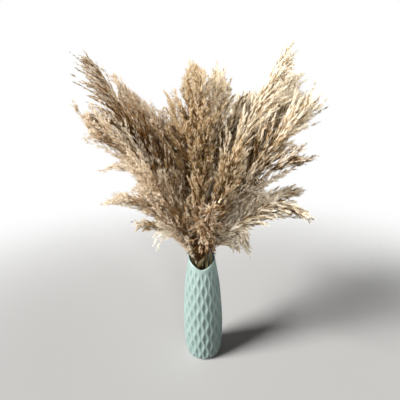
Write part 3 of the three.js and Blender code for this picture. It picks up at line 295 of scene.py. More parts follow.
# ------------------------------------------------------------------ mesh parts
class Soup:
    """Loose parts of one piece: points in mm, triangles, a UV and a normal for each point."""

    def __init__(self):
        self.v, self.f, self.uv, self.nrm, self.n = [], [], [], [], 0

    def add(self, v, f, uv, nrm=None):
        v = v.reshape(-1, 3)
        self.v.append(v)
        if nrm is not None:
            self.nrm.append(nrm.reshape(-1, 3))
        self.f.append(f.reshape(-1, 3) + self.n)
        self.uv.append(uv.reshape(-1, 2))
        self.n += len(v)

    def object(self, name, material, smooth=True, uv=True):
        v = np.vstack(self.v) * MM
        f = np.vstack(self.f)
        me = bpy.data.meshes.new(name)
        me.vertices.add(len(v))
        me.vertices.foreach_set("co", v.astype(np.float32).ravel())
        me.loops.add(len(f) * 3)
        me.loops.foreach_set("vertex_index", f.astype(np.int32).ravel())
        me.polygons.add(len(f))
        me.polygons.foreach_set("loop_start", np.arange(0, len(f) * 3, 3, dtype=np.int32))
        if uv:
            layer = me.uv_layers.new(name="OFBake")
            layer.data.foreach_set("uv", np.vstack(self.uv)[f.ravel()].astype(np.float32).ravel())
        me.update(calc_edges=True)
        me.polygons.foreach_set("use_smooth", np.full(len(f), smooth, dtype=bool))
        if self.nrm:
            me.normals_split_custom_set_from_vertices(np.vstack(self.nrm).astype(np.float32))
        me.materials.append(material)
        ob = bpy.data.objects.new(name, me)
        bpy.context.scene.collection.objects.link(ob)
        print(name, len(f), "triangles")
        return ob


def across(way, v):
    return unit(v - way * (v * way).sum(1, keepdims=True))


def husks(soup, base, way, length, half, tone, out, face):
    """Thin husks folded along their middle. face is where each looks, out the way the plume swells there."""
    n = len(base)
    side = np.cross(way, face)
    v = np.empty((n, 4, 3))
    v[:, 0] = base
    v[:, 1] = base + way * (length * 0.34)[:, None] + (side - face * 0.35) * half[:, None]
    v[:, 2] = base + way * (length * 0.50)[:, None] - (side + face * 0.35) * half[:, None]
    v[:, 3] = base + way * length[:, None] - face * (half * 0.5)[:, None]
    f = np.array([[0, 1, 3], [0, 3, 2]])[None] + (np.arange(n) * 4)[:, None, None]
    uv = np.empty((n, 4, 2))
    uv[:, :, 0] = [0.02, 0.28, 0.40, 0.78]
    uv[:, :, 1] = np.clip(tone, 0.03, 0.97)[:, None] + np.array([0.0, 0.012, -0.012, 0.0])[None]
    nrm = unit(out * ROUND + face * (1 - ROUND))
    nrm = unit(nrm[:, None] + side[:, None] * np.array([0.0, 0.25, -0.25, 0.0])[None, :, None])
    soup.add(v, f, uv, nrm)


def glumes(soup, base, way, length, half, tone, out, face):
    """Small husks, each a sheet that is widest before its middle."""
    n = len(base)
    side = np.cross(way, face) * np.where(np.arange(n) % 2, 1.0, -1.0)[:, None]
    v = np.empty((n, 3, 3))
    v[:, 0] = base - side * (half * 0.5)[:, None]
    v[:, 1] = base + way * (length * 0.42)[:, None] + (side * 1.2 - face * 0.2) * half[:, None]
    v[:, 2] = base + way * length[:, None] - side * (half * 0.3)[:, None]
    f = np.where((np.arange(n) % 2)[:, None] == 1, [[0, 1, 2]], [[0, 2, 1]]) + (np.arange(n) * 3)[:, None]
    uv = np.empty((n, 3, 2))
    uv[:, :, 0] = [0.02, 0.34, 0.78]
    uv[:, :, 1] = np.clip(tone, 0.03, 0.97)[:, None] + np.array([0.012, -0.012, 0.0])[None]
    nrm = unit(out * ROUND + face * (1 - ROUND))
    nrm = unit(nrm[:, None] + side[:, None] * np.array([-0.1, 0.25, -0.1])[None, :, None])
    soup.add(v, f, uv, nrm)


def hairs(soup, base, way, length, half, tone, out, face):
    """Fine hairs, each a sliver."""
    n = len(base)
    side = np.cross(way, face)
    v = np.empty((n, 3, 3))
    v[:, 0] = base - side * half[:, None]
    v[:, 1] = base + side * half[:, None]
    v[:, 2] = base + way * length[:, None]
    f = np.array([[0, 1, 2]])[None] + (np.arange(n) * 3)[:, None, None]
    uv = np.empty((n, 3, 2))
    uv[:, :, 0] = [0.30, 0.34, 0.80]
    uv[:, :, 1] = np.clip(tone, 0.03, 0.97)[:, None] + np.array([0.012, -0.012, 0.0])[None]
    nrm = unit(out * ROUND + face * (1 - ROUND))
    soup.add(v, f, uv, np.repeat(nrm[:, None], 3, 1))


def tubes(soup, lines, radii, tone, sides=3):
    """Round stalks along lines (m, k, 3), pointed at both ends."""
    m, k, _ = lines.shape
    t = unit(np.gradient(lines, axis=1))
    ref = np.where(np.abs(t[:, :1, 2:3]) < 0.9, [[[0, 0, 1.0]]], [[[1.0, 0, 0]]])
    a = unit(np.cross(t, np.broadcast_to(ref, t.shape)))
    b = np.cross(t, a)
    v = np.empty((m, (k - 2) * sides + 2, 3))
    nrm = np.empty_like(v)
    for j in range(sides):
        w = 2 * math.pi * j / sides
        ring = a[:, 1:-1] * math.cos(w) + b[:, 1:-1] * math.sin(w)
        v[:, 1 + j : 1 + (k - 2) * sides : sides] = lines[:, 1:-1] + ring * radii[:, 1:-1, None]
        nrm[:, 1 + j : 1 + (k - 2) * sides : sides] = ring
    v[:, 0], v[:, -1] = lines[:, 0], lines[:, -1]
    nrm[:, 0], nrm[:, -1] = -t[:, 0], t[:, -1]
    tri, e = [], 1 + (k - 3) * sides
    for j in range(sides):
        q = (j + 1) % sides
        tri.append([0, 1 + q, 1 + j])
        for r in range(k - 3):
            c0, c1 = 1 + r * sides + j, 1 + r * sides + q
            tri += [[c0, c1, c1 + sides], [c0, c1 + sides, c0 + sides]]
        tri.append([(k - 2) * sides + 1, e + j, e + q])
    f = np.array(tri)[None] + (np.arange(m) * v.shape[1])[:, None, None]
    along = np.r_[0, np.repeat(np.arange(1, k - 1), sides), k - 1] / (k - 1)
    wide = np.r_[0, np.tile(np.linspace(-0.012, 0.012, sides), k - 2), 0]
    uv = np.empty((m, v.shape[1], 2))
    uv[:, :, 0] = 0.86 + 0.12 * along[None]
    uv[:, :, 1] = np.clip(tone, 0.03, 0.97)[:, None] + wide[None]
    soup.add(v, f, uv, nrm)


# ------------------------------------------------------------------ a plume
def grow(reed, style):
    """Branches, twigs and spikelets of one plume, as arrays."""
    rng = np.random.default_rng(reed["seed"])
    line = catmull(reed["path"])
    sp = Spine(line[int(np.argmax(line[:, 2] >= reed["z0"])) :])
    nb, ang = style["nb"], math.radians(style["ang"])
    side = unit(np.array(style["side"], float))
    down = np.array([0, 0, -1.0]) * style["droop"]
    u = np.clip((np.arange(nb) + rng.random(nb)) / nb, 0, 1) * 0.97
    p, t, n, b = sp.at(u)
    phi = rng.random((nb, 7)) * 2 * math.pi
    e_all = n[:, None] * np.cos(phi)[..., None] + b[:, None] * np.sin(phi)[..., None]
    lean = style["lean"] * np.interp(u, style.get("from_", (0.15, 0.6)), [0.1, 1.0])
    score = (e_all @ side) * lean[:, None] * 2.0 + rng.gumbel(size=(nb, 7)) * 0.6
    e = e_all[np.arange(nb), score.argmax(1)]
    fat = [0.42, 0.74, 1.0, 1.0, 0.90, 0.7] if "blunt" in style else [0.42, 0.74, 1.0, 0.95, 0.76, 0.5]
    prof = np.interp(u, [0, 0.10, 0.35, 0.60, 0.80, 1], fat)
    length = style["L"] * prof * rng.uniform(0.66, 1.10, nb)
    blunt = "blunt" in style
    most = rng.uniform(0.65, 1.05, nb) if blunt else rng.uniform(0.45, 1.0, nb)
    length = np.minimum(length, (1 - u) * sp.length * most + rng.uniform(-2, 12 if blunt else 6, nb))
    if "slim" in style:  # short branches at its foot
        length = length * np.interp(u, [0, style["slim"]], [0.3, 1.0])
    length = np.maximum(length, 9)
    if "sparse" in style:  # a thin top
        from_u, to_u, share = style["sparse"]
        thinner = np.interp(u, [from_u, to_u], [0.0, share])
        length = length * (1 - 0.6 * thinner)
        gone = rng.random(nb) < thinner
        length[gone] = 5.0
    th = ang * rng.uniform(0.25, 1.5, nb) * np.interp(u, [0, 0.3, 1], [1.1, 1.0, 1.25 if blunt else 0.8])
    d = t * np.cos(th)[:, None] + e * np.sin(th)[:, None]
    k = 10
    pts = np.empty((nb, k, 3))
    pts[:, 0] = p
    curl = rng.normal(0, 0.03, (nb, 3))
    for i in range(1, k):
        s = i / (k - 1)
        pull = e * 0.05 * (1 - s) + down * (0.25 + s) * 0.5 * (length / 70)[:, None] + curl * s
        d = unit(d + (pull + side * lean[:, None] * 0.04) * 0.5)
        pts[:, i] = pts[:, i - 1] + d * (length / (k - 1))[:, None]
    out_at = np.where(REACH.inside(pts).all(1), k, (~REACH.inside(pts)).argmax(1))
    keep = np.where(out_at < k, np.maximum(out_at - rng.uniform(0.3, 1.3, nb), 1.5) / (k - 1), 1.0)
    pts = p[:, None] + (pts - p[:, None]) * keep[:, None, None]
    length = length * keep
    free = np.zeros(nb, bool)
    u_b = u
    if reed["tips"]:
        extra = []
        for at, tip in reed["tips"]:
            p0, t0, _, _ = sp.at(at)
            tip = np.array(tip, float)
            p1 = p0 + t0 * np.linalg.norm(tip - p0) * (0.45 if tip[2] > p0[2] else 0.8)
            s = np.linspace(0, 1, k)[:, None]
            extra.append((1 - s) ** 2 * p0 + 2 * s * (1 - s) * p1 + s * s * tip)
        pts = np.concatenate([pts, np.array(extra)])
        length = np.r_[length, [np.linalg.norm(np.diff(q, axis=0), axis=1).sum() for q in extra]]
        u_b = np.r_[u, [g[0] for g in reed["tips"]]]
        free = np.r_[free, np.ones(len(extra), bool)]
    nb = len(pts)
    for _ in range(8):  # branches that reach too far are shortened
        far = ((pts > HIGH) | (pts < LOW)).any((1, 2))
        pts[far] = pts[far, :1] + (pts[far] - pts[far, :1]) * 0.93
        length[far] *= 0.93
    for end in style.get("trim", ()):  # branches that would stand alone in front of the rest
        i = np.linalg.norm(pts[:, -1] - end, axis=1).argmin()
        pts[i] = pts[i, :1] + (pts[i] - pts[i, :1]) * 0.5
    tone_b = np.interp(u_b, [0.15, 0.45, 0.75], style["tone"]) + rng.normal(0, style.get("vary", 0.045), nb)
    tone_b = tone_b + style.get("lead", 0.0) * free
    foot, axis = sp.at(u_b)[:2]

    # spikelets, one of them at the end of each branch
    grain = style.get("grain", 1.0)
    per = np.maximum(3, np.round(length * TUFTS_PER_MM * style.get("dense", 1.0))).astype(int)
    who = np.repeat(np.arange(nb), per)
    nt = len(who)
    last = np.r_[True, who[1:] != who[:-1]]
    s2 = np.where(last, 0.985, rng.random(nt) ** 0.9 * 0.88 + 0.09)
    foot2, tt = on_lines(pts, who, s2)
    r2 = across(tt, rng.normal(size=(nt, 3)))
    apart = style.get("apart", 6.0) * rng.random(nt) * np.interp(s2, [0, 0.75, 0.97, 0.98], [1.2, 0.7, 0.3, 0.0])
    apart *= np.minimum(1, length[who] / 45)
    a1 = np.radians(np.clip(rng.normal(30, 9, nt), 8, 50))[:, None]
    d1 = unit(tt * np.cos(a1) + r2 * np.sin(a1))
    q0 = foot2 + d1 * apart[:, None]
    loose = style.get("loose", 16)
    a2 = np.radians(np.where(last, 2, np.clip(rng.normal(loose, loose * 0.45, nt), 2, 46)))[:, None]
    d2 = unit(tt * np.cos(a2) + r2 * np.sin(a2) + down * 0.15)
    l2 = rng.uniform(*TUFT, nt) * grain * np.interp(s2, [0, 0.7, 1], [1.1, 1.0, 0.72])
    speck = style.get("speck", 1.0)
    kind = rng.random(nt)
    pale, dark = style.get("mix", (0.30, 0.08))  # shares of pale and dark spikelets, the rest are middling
    dark = dark * np.interp(s2, [0.75, 0.95], [1.0, 2.2])
    kind = np.where(kind < pale, 0.17, np.where(kind > 1 - dark, -0.31, -0.05))
    tone_t = tone_b[who] + style.get("tips", 0.34) * (s2 - 0.5) + speck * (rng.normal(0, 0.06, nt) + kind)

    def pack(base, way, ln, hw, tone, branch, swell):
        """Each part with the way the plume swells there and the way the part itself looks."""
        off = base - foot[branch]
        off = off - axis[branch] * (off * axis[branch]).sum(1, keepdims=True)
        out = across(way, unit(off) * 0.75 + swell * 0.5 + [0, 0, 0.12])
        face = across(way, out + rng.normal(0, 0.55, (len(base), 3)))
        tip = base + way * ln[:, None]
        ok = ((tip < HIGH + 1.5) & (tip > LOW - 1.5)).all(1)
        ok &= free[branch] | REACH.inside(tip, True) | (rng.random(len(tip)) < 0.12)
        return {k: a[ok] for k, a in dict(base=base, way=way, ln=ln, hw=hw, tone=tone, out=out, face=face).items()}

    def tuft(count, spread, lengths, starts, half, darker=0.0):
        own = np.repeat(np.arange(nt), count)
        n = len(own)
        around = across(d2[own], rng.normal(size=(n, 3)))
        a3 = np.radians(np.clip(rng.normal(spread, spread * 0.5, n) * style.get("open", 1.0), 1, 40))[:, None]
        way = unit(d2[own] * np.cos(a3) + around * np.sin(a3))
        base = q0[own] + d2[own] * (l2[own] * rng.uniform(*starts, n))[:, None] + around * 0.25
        hw = half * np.sqrt(grain) * style.get("wide", 1.1) * rng.uniform(0.7, 1.3, n)
        tone = tone_t[own] + darker + speck * rng.normal(0, 0.22, n)
        return pack(base, way, l2[own] * rng.uniform(*lengths, n), hw, tone, who[own], unit(r2[own] * 0.6 + around * 0.7))

    long_ = pack(q0, d2, l2, np.full(nt, HALF * 0.85), tone_t - 0.03, who, r2)
    small = tuft(IN_TUFT[0], 13, (0.45, 0.80), (0.05, 0.60), HALF)
    own = np.flatnonzero(apart > 1.5)
    stem = pack(foot2[own], d1[own], apart[own] + 0.5, np.full(len(own), 0.26), tone_b[who[own]] - 0.1, who[own], r2[own])
    hair = tuft(IN_TUFT[1], 15, (0.65, 1.10), (0.05, 0.60), HALF * 0.5, style.get("awn", 0.0))
    made = {
        "husk": long_,
        "glume": small,
        "hair": {k: np.concatenate([hair[k], stem[k]]) for k in hair},
    }

    # longer, darker husks close to the stalk
    o3 = np.repeat(np.arange(nb), np.maximum(2, length * CORE_PER_MM).astype(int))
    b3, t3 = on_lines(pts, o3, rng.random(len(o3)) * 0.62 + 0.02)
    r3 = across(t3, rng.normal(size=(len(b3), 3)))
    core = pack(
        b3 + r3 * 1.2, unit(t3 + r3 * 0.16), rng.uniform(11, 18, len(b3)), rng.uniform(1.0, 1.6, len(b3)),
        tone_b[o3] - 0.14 + rng.normal(0, 0.05, len(b3)), o3, r3,
    )
    made["husk"] = {k: np.concatenate([made["husk"][k], core[k]]) for k in core}
    return dict(spine=sp, branches=pts, tone_b=tone_b, **made)


def shade(plumes):
    """Painted shade: works out how much light reaches each husk through the bundle, so that husks deep inside are
    painted darker and browner and open ones paler; many of the deepest are left out.
    """
    cell = 7.0
    parts = [g[kind] for g in plumes.values() for kind in ("husk", "glume", "hair")]
    mid = [g["base"] + g["way"] * (g["ln"] * 0.5)[:, None] for g in parts]
    every = np.vstack(mid)
    lo = every.min(0) - 3 * cell
    dims = np.ceil((every.max(0) + 3 * cell - lo) / cell).astype(int)
    grid = np.zeros(dims)
    ij = ((every - lo) / cell).astype(int)
    area = np.concatenate([g["ln"] * g["hw"] for g in parts])
    np.add.at(grid, tuple(ij.T), area)
    thick = grid / cell**2 * 0.55  # how much of a cell's face its husks cover
    open_ = np.zeros(dims)
    ways = [(x, y, z) for x in (-1, 0, 1) for y in (-1, 0, 1) for z in (-1, 0, 1) if (x, y, z) != (0, 0, 0)]
    total = 0.0
    for w in ways:
        step = math.sqrt(sum(c * c for c in w))
        depth = thick * 0.5 * step
        moved = thick
        for _ in range(9):
            shifted = np.zeros_like(moved)
            dst = tuple(slice(max(0, -c), d - max(0, c)) for c, d in zip(w, dims))
            src = tuple(slice(max(0, c), d - max(0, -c)) for c, d in zip(w, dims))
            shifted[dst] = moved[src]
            moved = shifted
            depth = depth + moved * step
        # ways upward count for more, as more light comes from above
        weight = 1.0 + 0.8 * max(0, w[2]) / step
        open_ += np.exp(-depth) * weight
        total += weight
    open_ /= total
    rng = np.random.default_rng(9)
    for g, m in zip(parts, mid):
        ij = ((m - lo) / cell).astype(int)
        g["open"] = open_[tuple(ij.T)]
        seen = rng.random(len(m)) < np.interp(g["open"], BURIED, [0.25, 1.0])  # fewer where none would show
        for k in list(g):
            g[k] = g[k][seen]


def plume_object(name, g, style, material):
    soup = Soup()
    level = np.quantile(np.r_[g["husk"]["open"], g["glume"]["open"]], 0.75) + 1e-9
    for kind, make in (("husk", husks), ("glume", glumes), ("hair", hairs)):
        h = g[kind]
        rel = np.clip(h["open"] / level, 0, 1.3)
        # painted shade: a husk's tone drops where little light reaches it through the bundle and rises where it lies
        # open
        make(soup, h["base"], h["way"], h["ln"], h["hw"], h["tone"] + style.get("painted_shade_depth", PAINTED_SHADE) * (rel - 0.62), h["out"], h["face"])
    k = g["branches"].shape[1]
    rad = np.interp(np.linspace(0, 1, k), [0, 1], [0.42, 0.16])[None] * np.ones((len(g["branches"]), 1))
    tubes(soup, g["branches"][:, ::3], rad[:, ::3], g["tone_b"] - 0.08)
    core = g["spine"].at(np.linspace(0, 0.985, 26))[0]
    rr = np.interp(np.linspace(0, 1, 26), [0, 1], [1.25, 0.3])[None]
    tubes(soup, core[None], rr, np.array([style["tone"][1] - 0.08]), sides=6)
    return soup.object(name, material)


# painted shade: how far a husk's tone moves with how openly it lies in the bundle
PAINTED_SHADE = 0.40
BURIED = (0.001, 0.010)


# ------------------------------------------------------------------ materials
def new_material(name):
    mat = bpy.data.materials.new(name)
    mat.use_nodes = True
    nt = mat.node_tree
    return mat, nt, nt.nodes["Principled BSDF"]


def linear(rgb):
    return tuple((c / 12.92 if c <= 0.04045 else ((c + 0.055) / 1.055) ** 2.4) for c in (x / 255 for x in rgb)) + (1.0,)


def ramp(nt, stops, factor):
    node = nt.nodes.new("ShaderNodeValToRGB")
    node.color_ramp.interpolation = "LINEAR"
    el = node.color_ramp.elements
    while len(el) < len(stops):
        el.new(0.5)
    for e, (at, rgb) in zip(el, stops):
        e.position = at
        e.color = linear(rgb)
    nt.links.new(factor, node.inputs["Fac"])
    return node.outputs["Color"]


def multiply(nt, a, b, factor=1.0):
    node = nt.nodes.new("ShaderNodeMix")
    node.data_type = "RGBA"
    node.blend_type = "MULTIPLY"
    node.inputs[0].default_value = factor
    nt.links.new(a, node.inputs[6])
    nt.links.new(b, node.inputs[7])
    return node.outputs[2]


THIN = 0.50  # how much of the light goes through a husk


def husk_material(name, stops):
    """Dry husk: its tone runs across the map, and its foot is browner than its tip."""
    mat, nt, bsdf = new_material(name)
    uv = nt.nodes.new("ShaderNodeUVMap")
    uv.uv_map = "OFBake"
    sep = nt.nodes.new("ShaderNodeSeparateXYZ")
    nt.links.new(uv.outputs["UV"], sep.inputs[0])
    tone = ramp(nt, stops, sep.outputs["Y"])
    along = ramp(
        nt,
        [(0.0, (176, 160, 146)), (0.22, (228, 220, 210)), (0.50, (255, 252, 246)), (0.78, (255, 255, 255)), (0.86, (205, 196, 172)), (1.0, (226, 216, 190))],
        sep.outputs["X"],
    )
    colour = multiply(nt, tone, along)
    nt.links.new(colour, bsdf.inputs["Base Color"])
    bsdf.inputs["Roughness"].default_value = 0.68
    bsdf.inputs["Specular IOR Level"].default_value = 0.35
    thin = nt.nodes.new("ShaderNodeBsdfTranslucent")
    nt.links.new(colour, thin.inputs["Color"])
    both = nt.nodes.new("ShaderNodeMixShader")
    both.inputs["Fac"].default_value = THIN
    nt.links.new(bsdf.outputs["BSDF"], both.inputs[1])
    nt.links.new(thin.outputs["BSDF"], both.inputs[2])
    nt.links.new(both.outputs["Shader"], nt.nodes["Material Output"].inputs["Surface"])
    return mat



PALETTES = {
    "tan": husk_material("husk_tan", [(0.0, (58, 34, 9)), (0.20, (127, 90, 43)), (0.45, (187, 152, 104)), (0.70, (222, 204, 178)), (1.0, (250, 245, 234))]),
    "brown": husk_material("husk_brown", [(0.0, (58, 35, 9)), (0.20, (129, 94, 46)), (0.45, (195, 162, 111)), (0.70, (230, 211, 176)), (1.0, (251, 244, 228))]),
    "ash": husk_material("husk_ash", [(0.0, (60, 42, 22)), (0.20, (125, 98, 63)), (0.45, (183, 157, 120)), (0.70, (224, 208, 182)), (1.0, (252, 247, 238))]),
    "cream": husk_material("husk_cream", [(0.0, (66, 42, 14)), (0.20, (146, 112, 61)), (0.45, (213, 189, 147)), (0.70, (244, 236, 216)), (1.0, (255, 252, 244))]),
}


def streaked_material(name, dark, pale, roughness, scale):
    """Dry stalk or leaf: fine streaks along its length with a few stains."""
    mat, nt, bsdf = new_material(name)
    co = nt.nodes.new("ShaderNodeTexCoord")
    mp = nt.nodes.new("ShaderNodeMapping")
    mp.inputs["Scale"].default_value = scale
    nt.links.new(co.outputs["Object"], mp.inputs["Vector"])
    fine = nt.nodes.new("ShaderNodeTexNoise")
    fine.inputs["Scale"].default_value = 1.0
    fine.inputs["Detail"].default_value = 4.0
    nt.links.new(mp.outputs["Vector"], fine.inputs["Vector"])
    broad = nt.nodes.new("ShaderNodeTexNoise")
    broad.inputs["Scale"].default_value = 55.0
    nt.links.new(co.outputs["Object"], broad.inputs["Vector"])
    a = ramp(nt, [(0.32, dark), (0.68, pale)], fine.outputs["Fac"])
    b = ramp(nt, [(0.35, (196, 180, 150)), (0.60, (255, 255, 255))], broad.outputs["Fac"])
    nt.links.new(multiply(nt, a, b), bsdf.inputs["Base Color"])
    bump = nt.nodes.new("ShaderNodeBump")
    bump.inputs["Strength"].default_value = 0.35
    bump.inputs["Distance"].default_value = 0.0003
    nt.links.new(fine.outputs["Fac"], bump.inputs["Height"])
    nt.links.new(bump.outputs["Normal"], bsdf.inputs["Normal"])
    bsdf.inputs["Roughness"].default_value = roughness
    return mat


# The stalks' streaks are kept dark: partly their own colour, partly painted shade for the vase mouth where they show.
STALK = streaked_material("dry_stalk", (58, 52, 32), (126, 114, 78), 0.6, (900, 900, 30))
SHEATH = streaked_material("dry_sheath", (76, 67, 46), (130, 117, 86), 0.62, (700, 700, 24))
SCRAP = streaked_material("dry_leaf", (200, 186, 160), (244, 236, 220), 0.62, (500, 500, 60))


def vase_material():
    mat, nt, bsdf = new_material("mint_glaze")
    co = nt.nodes.new("ShaderNodeTexCoord")
    depth = nt.nodes.new("ShaderNodeAttribute")
    depth.attribute_name = "hollow"
    base = ramp(nt, [(0.0, (130, 147, 144)), (0.4, (123, 141, 138)), (1.0, (110, 130, 127))], depth.outputs["Fac"])
    cloud = nt.nodes.new("ShaderNodeTexNoise")
    cloud.inputs["Scale"].default_value = 26.0
    cloud.inputs["Detail"].default_value = 3.0
    nt.links.new(co.outputs["Object"], cloud.inputs["Vector"])
    tint = ramp(nt, [(0.30, (236, 240, 238)), (0.70, (255, 255, 255))], cloud.outputs["Fac"])
    speck = nt.nodes.new("ShaderNodeTexNoise")
    speck.inputs["Scale"].default_value = 900.0
    speck.inputs["Detail"].default_value = 2.0
    nt.links.new(co.outputs["Object"], speck.inputs["Vector"])
    grain = ramp(nt, [(0.30, (238, 240, 238)), (0.60, (255, 255, 255))], speck.outputs["Fac"])
    nt.links.new(multiply(nt, multiply(nt, base, tint), grain), bsdf.inputs["Base Color"])
    bump = nt.nodes.new("ShaderNodeBump")
    bump.inputs["Strength"].default_value = 0.25
    bump.inputs["Distance"].default_value = 0.0002
    nt.links.new(speck.outputs["Fac"], bump.inputs["Height"])
    nt.links.new(bump.outputs["Normal"], bsdf.inputs["Normal"])
    bsdf.inputs["Roughness"].default_value = 0.42
    bsdf.inputs["Specular IOR Level"].default_value = 0.4
    return mat


# ------------------------------------------------------------------ the vase, in mm
OUTER = np.array([
    [31.4, 1.3], [34.2, 4.6], [36.5, 10.5], [38.2, 18], [39.9, 32], [41.1, 48], [41.9, 68], [41.7, 90], [40.8, 112],
    [39.4, 133], [38.0, 155], [36.4, 170], [34.3, 185], [32.2, 197], [29.8, 212], [27.9, 226], [26.9, 240],
])
COLUMNS, COLUMN_PHASE, ROW_PITCH, ROW_PHASE, DIMPLE = 14, 6.2, 35.7, 22.4, 2.7
SWAY = 0.12  # how far the ridges between the hollows weave, of a column


def soften(a, b, x):
    t = np.clip((x - a) / (b - a), 0, 1)
    return t * t * (3 - 2 * t)


def radius_at(z):
    return np.interp(z, OUTER[:, 1], OUTER[:, 0])


def body_radius(z):
    """The same outline with its corners eased."""
    w = np.array([1, 2, 3, 2, 1.0]) / 9
    return sum(c * radius_at(z + d) for c, d in zip(w, (-5, -2.5, 0, 2.5, 5)))


def rim_height(a):
    a = (a + math.pi) % (2 * math.pi) - math.pi
    s = np.sin((a + 0.035) / 2)
    return 211 + 26 * (np.sqrt(s * s + 0.006) - 0.0775) / 0.925 - 0.08 * 27 * np.sin(a)


def weave(x, z):
    """Mesh columns x, in columns of hollows, swayed so that they follow the ridges at height z."""
    y = (z - ROW_PHASE) / ROW_PITCH
    fade = soften(0.5, 14, z) * (1 - soften(200, 236, z))
    return x + SWAY * fade * np.sin(2 * math.pi * x) * np.cos(2 * math.pi * y)


def hollow(x, z, a):
    """0 on the ridges to 1 in the middle of a hollow; x is the mesh column before it is swayed."""
    y = (z - ROW_PHASE) / ROW_PITCH
    half = np.round(2 * x) / 2  # the nearest row of hollows, every other one set half a pitch higher
    t = np.abs(x - half) / 0.25
    sign = np.where(np.round(2 * x).astype(int) % 2 == 0, 1.0, -1.0)
    wide = 0.5 + 0.5 * sign * np.cos(2 * math.pi * y)
    bowl = np.clip(1 - (t * t + 0.004) / 0.46, 0, 1)
    fade = soften(0.5, 10, z) * (1 - soften(0, 1, (z - (rim_height(a) - 20)) / 16))
    return bowl * (0.05 + 0.95 * wide**1.2) * fade


def make_vase():
    seg = COLUMNS * 16
    col = np.arange(seg) / 16
    a = np.radians(col * (360 / COLUMNS) + COLUMN_PHASE)
    rim = rim_height(a)
    lift, top = 186.0, 236.0

    def raise_(z, edge):
        return np.where(z <= lift, z, lift + (z - lift) * (edge - lift) / (top - lift))

    rows, deep = [], []
    for r in (9.0, 18.0, 25.0):
        rows.append((np.full(seg, r), np.full(seg, 0.35 if r < 20 else 0.0)))
        deep.append(np.zeros(seg))
    for r, z in ((28.0, 0.0), (29.6, 0.12), (30.7, 0.6), (31.4, 1.3), (32.6, 2.5), (33.6, 3.7)):
        rows.append((np.full(seg, r), np.full(seg, z)))
        deep.append(np.zeros(seg))
    angles = [a] * len(rows)
    for z in np.r_[np.arange(4.8, lift, 2.2), np.arange(lift, top - 1.6, 2.4)]:
        zz = raise_(np.full(seg, z), rim)
        aa = np.radians(weave(col, zz) * (360 / COLUMNS) + COLUMN_PHASE)
        zz = raise_(np.full(seg, z), rim_height(aa))
        h = hollow(col, zz, aa)
        base = np.where(zz < 12, radius_at(zz), body_radius(zz))
        rows.append((base - DIMPLE * h, zz))
        angles.append(aa)
        deep.append(h)
    edge = body_radius(rim)
    for dr, dz in ((0.0, -1.3), (0.12, -0.75), (0.42, -0.3), (0.85, -0.05), (1.25, 0.0), (1.65, -0.08), (2.05, -0.42), (2.32, -1.0), (2.4, -1.8)):
        rows.append((edge - dr, rim + dz))
        deep.append(np.zeros(seg))
    for z in (232, 226, 219, 212, 205, 196, 188, 176, 165, 152, 140, 126, 112, 98, 84, 70, 56, 44, 32, 22, 16):
        zz = raise_(np.full(seg, float(z)), rim - 2)
        wall = 3.2 + 0.6 * soften(150, 20, zz) + (2.4 - 3.2) * soften(rim - 30, rim, zz)
        rows.append((radius_at(zz) - wall, zz))
        deep.append(np.zeros(seg))
    for r, z in ((32.0, 11.0), (31.0, 8.6), (28.5, 7.0), (24.0, 6.4), (14.0, 6.4)):
        rows.append((np.full(seg, r), np.full(seg, z)))
        deep.append(np.zeros(seg))
    n = len(rows)
    r = np.array([x[0] for x in rows])
    z = np.array([x[1] for x in rows])
    angles = np.array(angles + [a] * (n - len(angles)))
    v = np.stack([r * np.sin(angles), -r * np.cos(angles), z], -1).reshape(-1, 3)
    v = np.vstack([v, [[0, 0, 0.35], [0, 0, 6.4]]])
    i, j = np.meshgrid(np.arange(n - 1), np.arange(seg), indexing="ij")
    p, q = i * seg + j, i * seg + (j + 1) % seg
    quads = np.stack([p, q, q + seg, p + seg], -1).reshape(-1, 4)
    me = bpy.data.meshes.new("vase_glazed")
    caps = [(n * seg, (k + 1) % seg, k) for k in range(seg)]
    caps += [(n * seg + 1, (n - 1) * seg + k, (n - 1) * seg + (k + 1) % seg) for k in range(seg)]
    me.from_pydata((v * MM).tolist(), [], quads.tolist() + caps)
    att = me.attributes.new("hollow", "FLOAT", "POINT")
    att.data.foreach_set("value", np.r_[np.array(deep).ravel(), 0, 0].astype(np.float32))
    me.polygons.foreach_set("use_smooth", np.ones(len(me.polygons), dtype=bool))
    me.update()
    me.materials.append(vase_material())
    ob = bpy.data.objects.new("vase_glazed", me)
    bpy.context.scene.collection.objects.link(ob)
    print("vase_glazed", 2 * len(quads) + len(caps), "triangles")
    return ob


# ------------------------------------------------------------------ stalks and leaves
def stalk_object(name, reed):
    """A cut stalk with its swollen joints."""
    rng = np.random.default_rng(reed["seed"] + 3)
    line = catmull(reed["path"])
    end = int(np.argmax(line[:, 2] >= reed["z0"])) + 2
    p, length = even(line[:end], 44)
    t = unit(np.gradient(p, axis=0))
    a = unit(np.cross(t, [[0, 1.0, 0]]))
    b = np.cross(t, a)
    s = np.linspace(0, length, 44)
    r = np.full(44, 1.2)
    for at in rng.uniform(30, 62) + np.arange(3) * rng.uniform(66, 84):
        r = r + 0.28 * np.exp(-(((s - at) / 2.6) ** 2))
    sides = 8
    w = np.arange(sides) / sides * 2 * math.pi
    ring = p[:, None] + (a[:, None] * np.cos(w)[None, :, None] + b[:, None] * np.sin(w)[None, :, None]) * r[:, None, None]
    v = np.vstack([ring.reshape(-1, 3), p[:1], p[-1:]])
    f = []
    for i in range(43):
        for j in range(sides):
            q = (j + 1) % sides
            c0, c1 = i * sides + j, i * sides + q
            f += [(c0, c1, c1 + sides), (c0, c1 + sides, c0 + sides)]
    e = 43 * sides
    for j in range(sides):
        q = (j + 1) % sides
        f += [(44 * sides, q, j), (44 * sides + 1, e + j, e + q)]
    soup = Soup()
    soup.add(v, np.array(f), np.zeros((len(v), 2)))
    return soup.object(name, STALK, uv=False)


